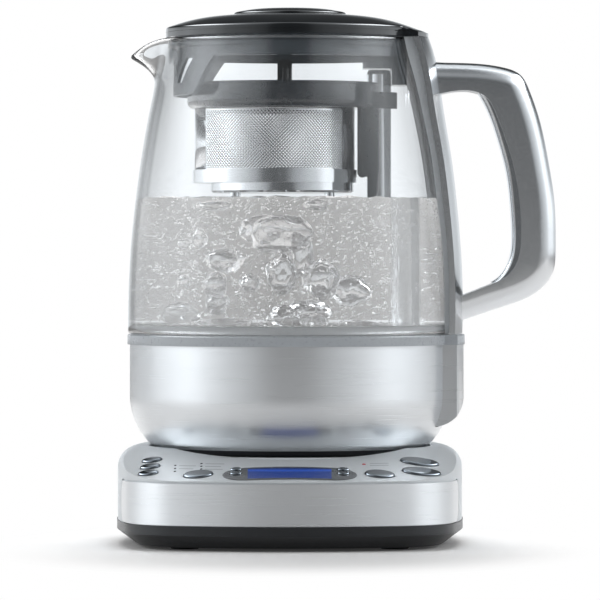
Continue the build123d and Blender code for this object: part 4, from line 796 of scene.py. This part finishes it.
# Height of the waves, and how many of them go into a metre
WAVE_HEIGHT = 1.3
LONG_WAVES = 90
SHORT_WAVES = 240
# Fine bubbles: the seed of their places, how many are made at once, their lowest place, the depth they
# keep under the surface and their radii
BUBBLE_SEED = 5
BUBBLE_BATCH = 100
LOWEST_BUBBLE_Z = 104.5
BUBBLE_DEPTH = 2.0
FINE_RADIUS = (0.22, 0.6)
# Some cling within a layer near the glass, the others drift inside a wider gap
CLING_SHARE = 0.5
CLING_GAP = 1.2
CLING_LAYER = 8
DRIFT_GAP = 5


class TEAMAKER_OT_water(BuildOperator, bpy.types.Operator):
    """Fills the jug with boiling water up to its level, with its bubbles"""

    bl_idname = "teamaker.water"
    bl_label = "Water"

    def execute(self, context):
        settings = context.scene.tea_jug
        level = settings.water_level / MM
        wall = settings.wall / MM - WATER_OVERLAP
        sides = [(inner_radius(h, wall), h) for h in WATER_HEIGHTS + [level - SURFACE_EDGE]]
        surface = [(inner_radius(level, wall) * share, level) for share in SURFACE_RINGS]
        mesh_data = turned(WATER_FLOOR + sides + surface)
        for vert in mesh_data.verts:
            if vert.co.z > (level - SURFACE_REACH) * MM:
                wave = noise.noise(vert.co * LONG_WAVES) + 0.5 * noise.noise(vert.co * SHORT_WAVES)
                vert.co.z += WAVE_HEIGHT * MM * wave
        shade(mesh_data, WATER_ANGLE)
        give(to_object("boiling_water", mesh_data), "water", "jug", "glass")
        self.bubbles(settings, level)
        return {"FINISHED"}

    def bubbles(self, settings, level):
        """Fine bubbles all through the water and a few large ones over the heater."""
        random.seed(BUBBLE_SEED)
        fine = bmesh.new()
        for _ in range(settings.small_bubbles // BUBBLE_BATCH):
            batch = bmesh.new()
            for _ in range(BUBBLE_BATCH):
                height = random.uniform(LOWEST_BUBBLE_Z, level - BUBBLE_DEPTH)
                widest = inner_radius(height, settings.wall / MM)
                drift = math.sqrt(random.random())
                if random.random() < CLING_SHARE:
                    reach = widest - CLING_GAP - CLING_LAYER * drift**4
                else:
                    reach = (widest - DRIFT_GAP) * drift
                turn = random.uniform(0, math.tau)
                place = Vector((reach * math.cos(turn), reach * math.sin(turn), height)) * MM
                size = random.uniform(*FINE_RADIUS) * MM
                there = Matrix.Translation(place)
                bmesh.ops.create_icosphere(batch, subdivisions=1, radius=size, matrix=there)
            store(batch, fine)
        shade(fine, ANY_ANGLE)
        give(to_object("fine_bubbles", fine), "fine_air_in_water", "jug", "glass")
        large = bmesh.new()
        for x, y, z, width, depth, height in LARGE_BUBBLES:
            blob = bmesh.ops.create_icosphere(large, subdivisions=4, radius=1.0)["verts"]
            seed = Vector((x, y, z))
            for vert in blob:
                swell = BLOB_SWELL * noise.noise(vert.co * SWELLS_PER_RADIUS + seed)
                dent = BLOB_DENT * noise.noise(vert.co * DENTS_PER_RADIUS + seed)
                vert.co *= 1 + swell + dent
                vert.co = Vector(
                    (x + vert.co.x * width / 2, y + vert.co.y * depth / 2, z + vert.co.z * height / 2)
                ) * MM
        shade(large, ANY_ANGLE)
        give(to_object("rising_bubbles", large), "air_in_water", "jug", "glass")


# Each large bubble has broad swells and smaller dents of its own, as shares of its radius
BLOB_SWELL = 0.22
SWELLS_PER_RADIUS = 1.4
BLOB_DENT = 0.08
DENTS_PER_RADIUS = 3.1
# Large bubbles: place, width, depth and height in millimetres
LARGE_BUBBLES = [
    (-3.5, -30, 149, 25, 14, 19),
    (5.0, -26, 139, 9, 8, 20),
    (-3.0, -32, 130.5, 13, 11, 19),
    (13.0, -31, 127.5, 15, 12, 20),
    (-31.0, -30, 125.5, 11, 9, 12),
    (-30.0, -28, 117, 11, 10, 11),
    (-37.5, -28, 147, 7, 6, 9),
    (-44.0, -26, 144.5, 7, 6, 5),
    (-2.5, -31, 109.5, 13, 11, 13),
    (9.0, -30, 107.5, 12, 10, 9),
    (-16.0, -26, 126, 9, 8, 9),
    (11.0, -30, 163, 10, 9, 6),
    (-46.0, -25, 111.0, 17, 12, 12),
    (-26.0, -24, 106.8, 22, 12, 6),
    (-44.0, -26, 127.0, 7, 6, 6),
    (28.0, -26, 106.0, 18, 10, 5),
    (-31.0, -27, 162.5, 16, 10, 5),
    (-8.0, 20, 150, 18, 14, 14),
    (20.0, 24, 122, 14, 12, 14),
    (-22.0, 22, 136, 13, 12, 11),
    (6.0, 28, 112, 16, 12, 10),
]


class TEAMAKER_OT_handle(BuildOperator, bpy.types.Operator):
    """Dresses the handle, its grip strip and its spine"""

    bl_idname = "teamaker.handle"
    bl_label = "Handle"

    def execute(self, context):
        dress("satin_chrome", "handle", "handle_spine")
        dress("polished_stainless", "handle_insert")
        dress("grey_liner_abs", "spine_liner")
        paint("nickel_plate", "handle_screws")
        return {"FINISHED"}


# The lid's edge to round: above a height, outside a radius, sharp, and level within a rise
LID_EDGE_Z = 249.4
LID_EDGE_RADIUS = 58.0
LID_EDGE_ANGLE = 25
LID_EDGE_RISE = 1.0
LID_EDGE_ROUND = 1.5


def round_lid_edge(piece):
    """Rounds the edge where the lid's dome meets its upright side."""
    mesh_data = bmesh.new()
    mesh_data.from_mesh(piece.data)
    edges = [
        edge
        for edge in mesh_data.edges
        if edge.calc_face_angle(0.0) > math.radians(LID_EDGE_ANGLE)
        and min(vert.co.z for vert in edge.verts) > LID_EDGE_Z * MM
        and min(vert.co.to_2d().length for vert in edge.verts) > LID_EDGE_RADIUS * MM
        and abs(edge.verts[0].co.z - edge.verts[1].co.z) < LID_EDGE_RISE * MM
    ]
    bmesh.ops.bevel(
        mesh_data,
        geom=edges,
        offset=LID_EDGE_ROUND * MM,
        offset_type="OFFSET",
        segments=4,
        profile=0.5,
        affect="EDGES",
        clamp_overlap=True,
        material=-1,
    )
    shade(mesh_data)
    mesh_data.to_mesh(piece.data)
    mesh_data.free()


class TEAMAKER_OT_lid(BuildOperator, bpy.types.Operator):
    """Dresses the lid, its knob, its rim, its skirt and the spout's strainer"""

    bl_idname = "teamaker.lid"
    bl_label = "Lid"

    def execute(self, context):
        top = joined_copy("lid_top", "lid_top_skin")
        round_lid_edge(top)
        give(top, "gloss_black_abs", body_of("lid_top"), slot_of("lid_top"), "lid_top")
        dress("gloss_black_abs", "lid_knob", "lid_rim")
        dress("slate_copolyester", "lid_skirt")
        dress("polished_stainless", "strainer_mesh")
        return {"FINISHED"}


# A cell with at least this share of its area counts as whole
WHOLE_CELL = 0.98


def perforated_sheet(half_width, bottom, top, pitch, strand):
    """A flat sheet in X and Z pierced by rows of staggered diamond holes, in metres."""
    sheet = bmesh.new()
    cell = pitch / math.sqrt(2)
    reach = half_width + (top - bottom)
    count = int(2 * reach / cell)
    middle = (bottom + top) / 2
    bmesh.ops.create_grid(sheet, x_segments=count, y_segments=count, size=count * cell / 2)
    # the squares stand on their corners, then the sheet is stood upright
    for degrees, axis in ((45, "Z"), (90, "X")):
        turn = Matrix.Rotation(math.radians(degrees), 3, axis)
        bmesh.ops.rotate(sheet, verts=sheet.verts, cent=(0, 0, 0), matrix=turn)
    bmesh.ops.translate(sheet, verts=sheet.verts, vec=(0, 0, middle))
    for place, normal in (
        ((half_width, 0, 0), (1, 0, 0)),
        ((-half_width, 0, 0), (-1, 0, 0)),
        ((0, 0, top), (0, 0, 1)),
        ((0, 0, bottom), (0, 0, -1)),
    ):
        geometry = sheet.verts[:] + sheet.edges[:] + sheet.faces[:]
        bmesh.ops.bisect_plane(
            sheet, geom=geometry, dist=1e-7, plane_co=place, plane_no=normal, clear_outer=True
        )
    # only whole cells are pierced; the ones cut by the border stay closed
    whole = [face for face in sheet.faces if face.calc_area() > WHOLE_CELL * cell * cell]
    bmesh.ops.inset_individual(sheet, faces=whole, thickness=strand / 2)
    bmesh.ops.delete(sheet, geom=whole, context="FACES_ONLY")
    return sheet


def bend_round(mesh_data, radius, axis_x, facing):
    """Bends a flat sheet round an upright axis; facing is the angle its middle points to."""
    for vert in mesh_data.verts:
        turn = facing + vert.co.x / radius
        vert.co.x = axis_x + radius * math.cos(turn)
        vert.co.y = radius * math.sin(turn)


# The basket's wall: its axis, radius and heights in millimetres, pierced in front and behind
BASKET_X = -7.5
BASKET_RADIUS = 39.2
WALL_BOTTOM_Z = 176.0
PIERCED_BOTTOM_Z = 181.6
PIERCED_TOP_Z = 210.6
WALL_TOP_Z = 211.4
PIERCED_HALF_ANGLE = 58
STRIP_CUTS = 40
FRONT_AND_BACK = (-math.pi / 2, math.pi / 2)
RIGHT_AND_LEFT = (0.0, math.pi)


def plain_strip(half_width, bottom, top):
    """A flat strip in X and Z with cuts to bend it at; heights in millimetres, width in metres."""
    strip = bmesh.new()
    chain(strip, [(0, 0, bottom), (0, 0, top)])
    bmesh.ops.translate(strip, verts=strip.verts, vec=(-half_width, 0, 0))
    drawn = bmesh.ops.extrude_edge_only(strip, edges=strip.edges[:])["geom"]
    ends = [part for part in drawn if isinstance(part, bmesh.types.BMVert)]
    bmesh.ops.translate(strip, verts=ends, vec=(2 * half_width, 0, 0))
    level = [edge for edge in strip.edges if abs(edge.verts[0].co.z - edge.verts[1].co.z) < 1e-6]
    bmesh.ops.subdivide_edges(strip, edges=level, cuts=STRIP_CUTS)
    return strip


class TEAMAKER_OT_basket(BuildOperator, bpy.types.Operator):
    """Makes the perforated tea basket and dresses its rim, band, dish and lid"""

    bl_idname = "teamaker.basket"
    bl_label = "Tea basket"

    def execute(self, context):
        settings = context.scene.tea_basket
        centre = BASKET_X * MM
        radius = BASKET_RADIUS * MM
        window = math.radians(PIERCED_HALF_ANGLE)
        whole = bmesh.new()
        for facing in FRONT_AND_BACK:
            sheet = perforated_sheet(
                radius * window, PIERCED_BOTTOM_Z * MM, PIERCED_TOP_Z * MM, settings.pitch, settings.strand
            )
            bend_round(sheet, radius, centre, facing)
            store(sheet, whole)
        strips = [(facing, math.pi / 2 - window, WALL_BOTTOM_Z, WALL_TOP_Z) for facing in RIGHT_AND_LEFT]
        for facing in FRONT_AND_BACK:
            strips.append((facing, window, WALL_BOTTOM_Z, PIERCED_BOTTOM_Z))
            strips.append((facing, window, PIERCED_TOP_Z, WALL_TOP_Z))
        for facing, half, bottom, top in strips:
            strip = plain_strip(half * radius, bottom, top)
            bend_round(strip, radius, centre, facing)
            store(strip, whole)
        bmesh.ops.remove_doubles(whole, verts=whole.verts, dist=SAME_POINT * MM)
        for face in whole.faces:
            outward = face.calc_center_median() - Vector((centre, 0, 0))
            outward.z = 0
            if face.normal.dot(outward) < 0:
                face.normal_flip()
            face.smooth = True
        piece = to_object("basket_perforated_wall", whole)
        add_wall(piece, settings.sheet)
        give(piece, "polished_stainless", "basket", "steel", "basket_mesh")
        dress("slate_abs", "basket_rim")
        dress("polished_stainless", "basket_band", "basket_base")
        dress("gloss_black_abs", "basket_lid")
        paint("nickel_plate", "slider_magnets")
        return {"FINISHED"}


class TEAMAKER_OT_drive(BuildOperator, bpy.types.Operator):
    """Dresses the lift post and gives the drive inside it its finishes"""

    bl_idname = "teamaker.drive"
    bl_label = "Lift post and drive"

    def execute(self, context):
        dress("polished_stainless", "post_tube")
        dress("slate_abs", "post_cap")
        paint("nickel_plate", "lead_screw", "screw_coupler", "magnet_carriage", "lift_motor")
        paint("matt_black_polypropylene", "motor_mount")
        return {"FINISHED"}


# ------------------------ stage
# Brightness of the light tent round the object: 0 towards the camera, 1 straight away from it
TENT_AROUND = [(0.0, 0.13), (0.085, 0.18), (0.14, 0.48), (0.22, 0.75), (0.34, 1.1), (0.42, 1.75)]
TENT_AROUND += [(0.6, 1.75), (0.68, 1.2), (0.8, 0.95), (0.86, 0.7), (0.9, 1.0), (1.0, 1.0)]
# The left side of the tent, at 0, is a little brighter than the right side, at 1
TENT_ACROSS = [(0.0, 1.2), (0.5, 1.0), (1.0, 0.95)]
# Softboxes high up at both sides, for reflections and refractions: round from the camera, then by height
SIDE_BOX_AROUND = [(0.08, 0.02), (0.25, 0.12), (0.36, 0.5), (0.48, 1.6), (0.66, 1.6), (0.74, 0.3), (0.8, 0.0)]
SIDE_BOX_RISE = [(0.7, 0.0), (0.76, 1.6), (0.86, 1.6), (0.92, 0.0)]
SIDE_BOX_STRENGTH = 5.0
# How far the back's brightness by height takes the place of the front's, going round to the back
BACK_SHARE = [(0.5, 0.0), (0.68, 1.0)]
# Brightness from straight down (0) to straight up (1), in front and at the sides
FRONT_RISE = [(0.0, 0.8), (0.5, 1.0), (0.62, 1.0), (0.75, 1.5), (0.92, 1.5), (1.0, 1.0)]
# The same at the back: a white sweep low down, dark above it, and the top softbox
BACK_RISE = [(0.0, 0.9), (0.54, 1.0), (0.6, 0.22), (0.66, 0.07), (0.9, 0.06), (0.95, 1.2), (1.0, 1.2)]
TENT_COLOUR = "#F4F9FD"
# Strength of the light that the tent gives the object, apart from reflections
AMBIENT = 0.35
# Lamps: name, place, width, height and power
LAMPS = [
    ("Top softbox", (0.0, 0.8, 1.0), 1.2, 0.8, 14),
    ("Left softbox", (-1.2, -0.6, 0.6), 0.5, 1.2, 6),
    ("Right softbox", (1.2, -0.6, 0.6), 0.5, 1.2, 6),
]
LAMP_TARGET = (0, 0, 0.13)
FLOOR_SIZE = 6.0
# Size of the paper's fibre in millimetres, and how much it tints the paper
FIBRE = (4, 4, 4)
FIBRE_TINT = 0.01
# A glow of the paper's own, on top of the light it reflects, that only the camera sees
FLOOR_GLOW = 0.03
# The shadow shows within an oval pool: its half axes, how far forward it lies as a share of its depth,
# and where it fades to white, as shares of its half axes
POOL_WIDTH = 0.15
POOL_DEPTH = 0.22
POOL_FORWARD = 0.27
POOL_FADE_START = 0.55
POOL_FADE_END = 1.0
CAMERA_PLACE = (0.0049, -2.401, 0.1401)
CAMERA_SHIFT = -0.075
SENSOR_WIDTH = 36.0
FAR_CLIP = 50


def area_light(name, place, target, width, height, power):
    """A soft rectangular lamp aimed at a point."""
    data = bpy.data.lights.new(name, "AREA")
    data.shape = "RECTANGLE"
    data.size = width
    data.size_y = height
    data.energy = power
    lamp = bpy.data.objects.new(name, data)
    lamp.location = place
    lamp.rotation_euler = (Vector(target) - Vector(place)).to_track_quat("-Z", "Y").to_euler()
    # the tent around the object shows in reflections, and not these lamps
    lamp.visible_glossy = False
    lamp.visible_transmission = False
    bpy.context.scene.collection.objects.link(lamp)


class TEAMAKER_OT_stage(BuildOperator, bpy.types.Operator):
    """Sets up the floor, the studio lights, the background and the camera"""

    bl_idname = "teamaker.stage"
    bl_label = "Stage"

    def execute(self, context):
        scene = context.scene
        scene.view_settings.view_transform = "Standard"
        self.floor(scene)
        self.world(scene)
        for name, place, width, height, power in LAMPS:
            area_light(name, place, LAMP_TARGET, width, height, power)
        self.camera(scene)
        return {"FINISHED"}

    def floor(self, scene):
        """A sheet of studio paper that blends into the white behind it."""
        mesh_data = bmesh.new()
        bmesh.ops.create_grid(mesh_data, x_segments=1, y_segments=1, size=FLOOR_SIZE)
        floor = to_object("studio_floor", mesh_data)
        # uncoated paper: matt, with a hardly visible fibre
        material, tree, output = new_material("studio_paper")
        fibre = grain(tree, FIBRE, detail=2.0)
        tint = mix_colour(tree, fibre.outputs[0], scene.tea_stage.floor, FIBRE_TINT)
        paper = add_node(tree, "ShaderNodeBsdfDiffuse", {}, {"Color": tint})
        ray = add_node(tree, "ShaderNodeLightPath")
        to_camera = ray.outputs["Is Camera Ray"]
        lift = calculate(tree, "MULTIPLY", to_camera, FLOOR_GLOW)
        glow = add_node(tree, "ShaderNodeEmission", {"Color": (1, 1, 1, 1)}, {"Strength": lift})
        lit = add_node(tree, "ShaderNodeAddShader", {}, {0: paper.outputs[0], 1: glow.outputs[0]})
        white = add_node(tree, "ShaderNodeEmission", {"Color": (1, 1, 1, 1), "Strength": 1.0})
        coords = add_node(tree, "ShaderNodeTexCoord")
        moved = add_node(
            tree,
            "ShaderNodeMapping",
            {"Location": (0, POOL_FORWARD, 0), "Scale": (1 / POOL_WIDTH, 1 / POOL_DEPTH, 1)},
            {"Vector": coords.outputs["Object"]},
        )
        distance = add_node(tree, "ShaderNodeVectorMath", {}, {0: moved.outputs[0]}, operation="LENGTH")
        fade = share_of(
            tree,
            distance.outputs["Value"],
            POOL_FADE_START,
            POOL_FADE_END,
            interpolation_type="SMOOTHSTEP",
        )
        seen = calculate(tree, "MULTIPLY", fade, to_camera)
        shaders = {0: seen, 1: lit.outputs[0], 2: white.outputs[0]}
        both = add_node(tree, "ShaderNodeMixShader", {}, shaders)
        tree.links.new(both.outputs[0], output.inputs["Surface"])
        floor.data.materials.append(material)

    def world(self, scene):
        """A white light tent with a dark opening for the camera and softboxes to its left and right."""
        world = bpy.data.worlds.new("Studio")
        scene.world = world
        world.use_nodes = True
        tree = world.node_tree
        tree.nodes.clear()
        output = add_node(tree, "ShaderNodeOutputWorld")
        coords = add_node(tree, "ShaderNodeTexCoord")
        split = add_node(tree, "ShaderNodeSeparateXYZ", {}, {0: coords.outputs["Generated"]})
        front = calculate(tree, "MULTIPLY", split.outputs["Y"], -1.0)
        side = calculate(tree, "ABSOLUTE", split.outputs["X"])
        # 0 towards the camera, 1 straight away from it
        around = calculate(tree, "DIVIDE", calculate(tree, "ARCTAN2", side, front), math.pi)
        rise = share_of(tree, split.outputs["Z"], -1.0, 1.0)
        across = share_of(tree, split.outputs["X"], -1.0, 1.0)
        heights = {
            0: add_ramp(tree, around, BACK_SHARE),
            2: add_ramp(tree, rise, FRONT_RISE),
            3: add_ramp(tree, rise, BACK_RISE),
        }
        strength = add_node(tree, "ShaderNodeMix", {}, heights).outputs[0]
        strength = calculate(tree, "MULTIPLY", add_ramp(tree, around, TENT_AROUND), strength)
        strength = calculate(tree, "MULTIPLY", strength, add_ramp(tree, across, TENT_ACROSS))
        box_rise = add_ramp(tree, rise, SIDE_BOX_RISE)
        boxes = calculate(tree, "MULTIPLY", add_ramp(tree, around, SIDE_BOX_AROUND), box_rise)
        strength = calculate(tree, "MULTIPLY_ADD", boxes, SIDE_BOX_STRENGTH, strength)
        ray = add_node(tree, "ShaderNodeLightPath")
        soft = add_node(tree, "ShaderNodeBackground", {"Color": (1, 1, 1, 1), "Strength": AMBIENT})
        white = add_node(tree, "ShaderNodeBackground", {"Color": (1, 1, 1, 1), "Strength": 1.0})
        tint = rgba(linear(TENT_COLOUR))
        tent = add_node(tree, "ShaderNodeBackground", {"Color": tint}, {"Strength": strength})
        shown = soft
        for kind, look in (("Is Glossy Ray", tent), ("Is Transmission Ray", tent), ("Is Camera Ray", white)):
            shaders = {0: ray.outputs[kind], 1: shown.outputs[0], 2: look.outputs[0]}
            shown = add_node(tree, "ShaderNodeMixShader", {}, shaders)
        tree.links.new(shown.outputs[0], output.inputs[0])

    def camera(self, scene):
        """A long lens straight in front of the object, level with its middle."""
        data = bpy.data.cameras.new("Camera")
        data.lens = scene.tea_stage.lens
        data.sensor_width = SENSOR_WIDTH
        data.shift_y = CAMERA_SHIFT
        data.clip_end = FAR_CLIP
        camera = bpy.data.objects.new("Camera", data)
        camera.location = CAMERA_PLACE
        camera.rotation_euler = (math.radians(90), 0, 0)
        scene.collection.objects.link(camera)
        scene.camera = camera


OPERATORS = (
    TEAMAKER_OT_finishes,
    TEAMAKER_OT_base,
    TEAMAKER_OT_panel,
    TEAMAKER_OT_electrics,
    TEAMAKER_OT_jug_base,
    TEAMAKER_OT_glass,
    TEAMAKER_OT_water,
    TEAMAKER_OT_handle,
    TEAMAKER_OT_lid,
    TEAMAKER_OT_basket,
    TEAMAKER_OT_drive,
    TEAMAKER_OT_stage,
)


class TEAMAKER_PT_sidebar(bpy.types.Panel):
    """Lists the steps that build the tea maker"""

    bl_idname = "TEAMAKER_PT_sidebar"
    bl_label = "Tea Maker"
    bl_space_type = "VIEW_3D"
    bl_region_type = "UI"
    bl_category = "Tea Maker"

    def draw(self, context):
        for operator in OPERATORS:
            self.layout.operator(operator.bl_idname)
        for name, group in SETTINGS.items():
            box = self.layout.box()
            for key in group.__annotations__:
                box.prop(getattr(context.scene, name), key)


CLASSES = tuple(SETTINGS.values()) + OPERATORS + (TEAMAKER_PT_sidebar,)


def register():
    """Registers the classes and hangs their settings on the scene."""
    for cls in CLASSES:
        bpy.utils.register_class(cls)
    for name, group in SETTINGS.items():
        setattr(bpy.types.Scene, name, PointerProperty(type=group))


def unregister():
    """Takes the settings and the classes away again."""
    for name in SETTINGS:
        delattr(bpy.types.Scene, name)
    for cls in reversed(CLASSES):
        bpy.utils.unregister_class(cls)


def main():
    """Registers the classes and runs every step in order."""
    register()
    for operator in OPERATORS:
        step = operator.bl_idname.split(".")[1]
        getattr(bpy.ops.teamaker, step)()


if __name__ == "__main__":
    main()
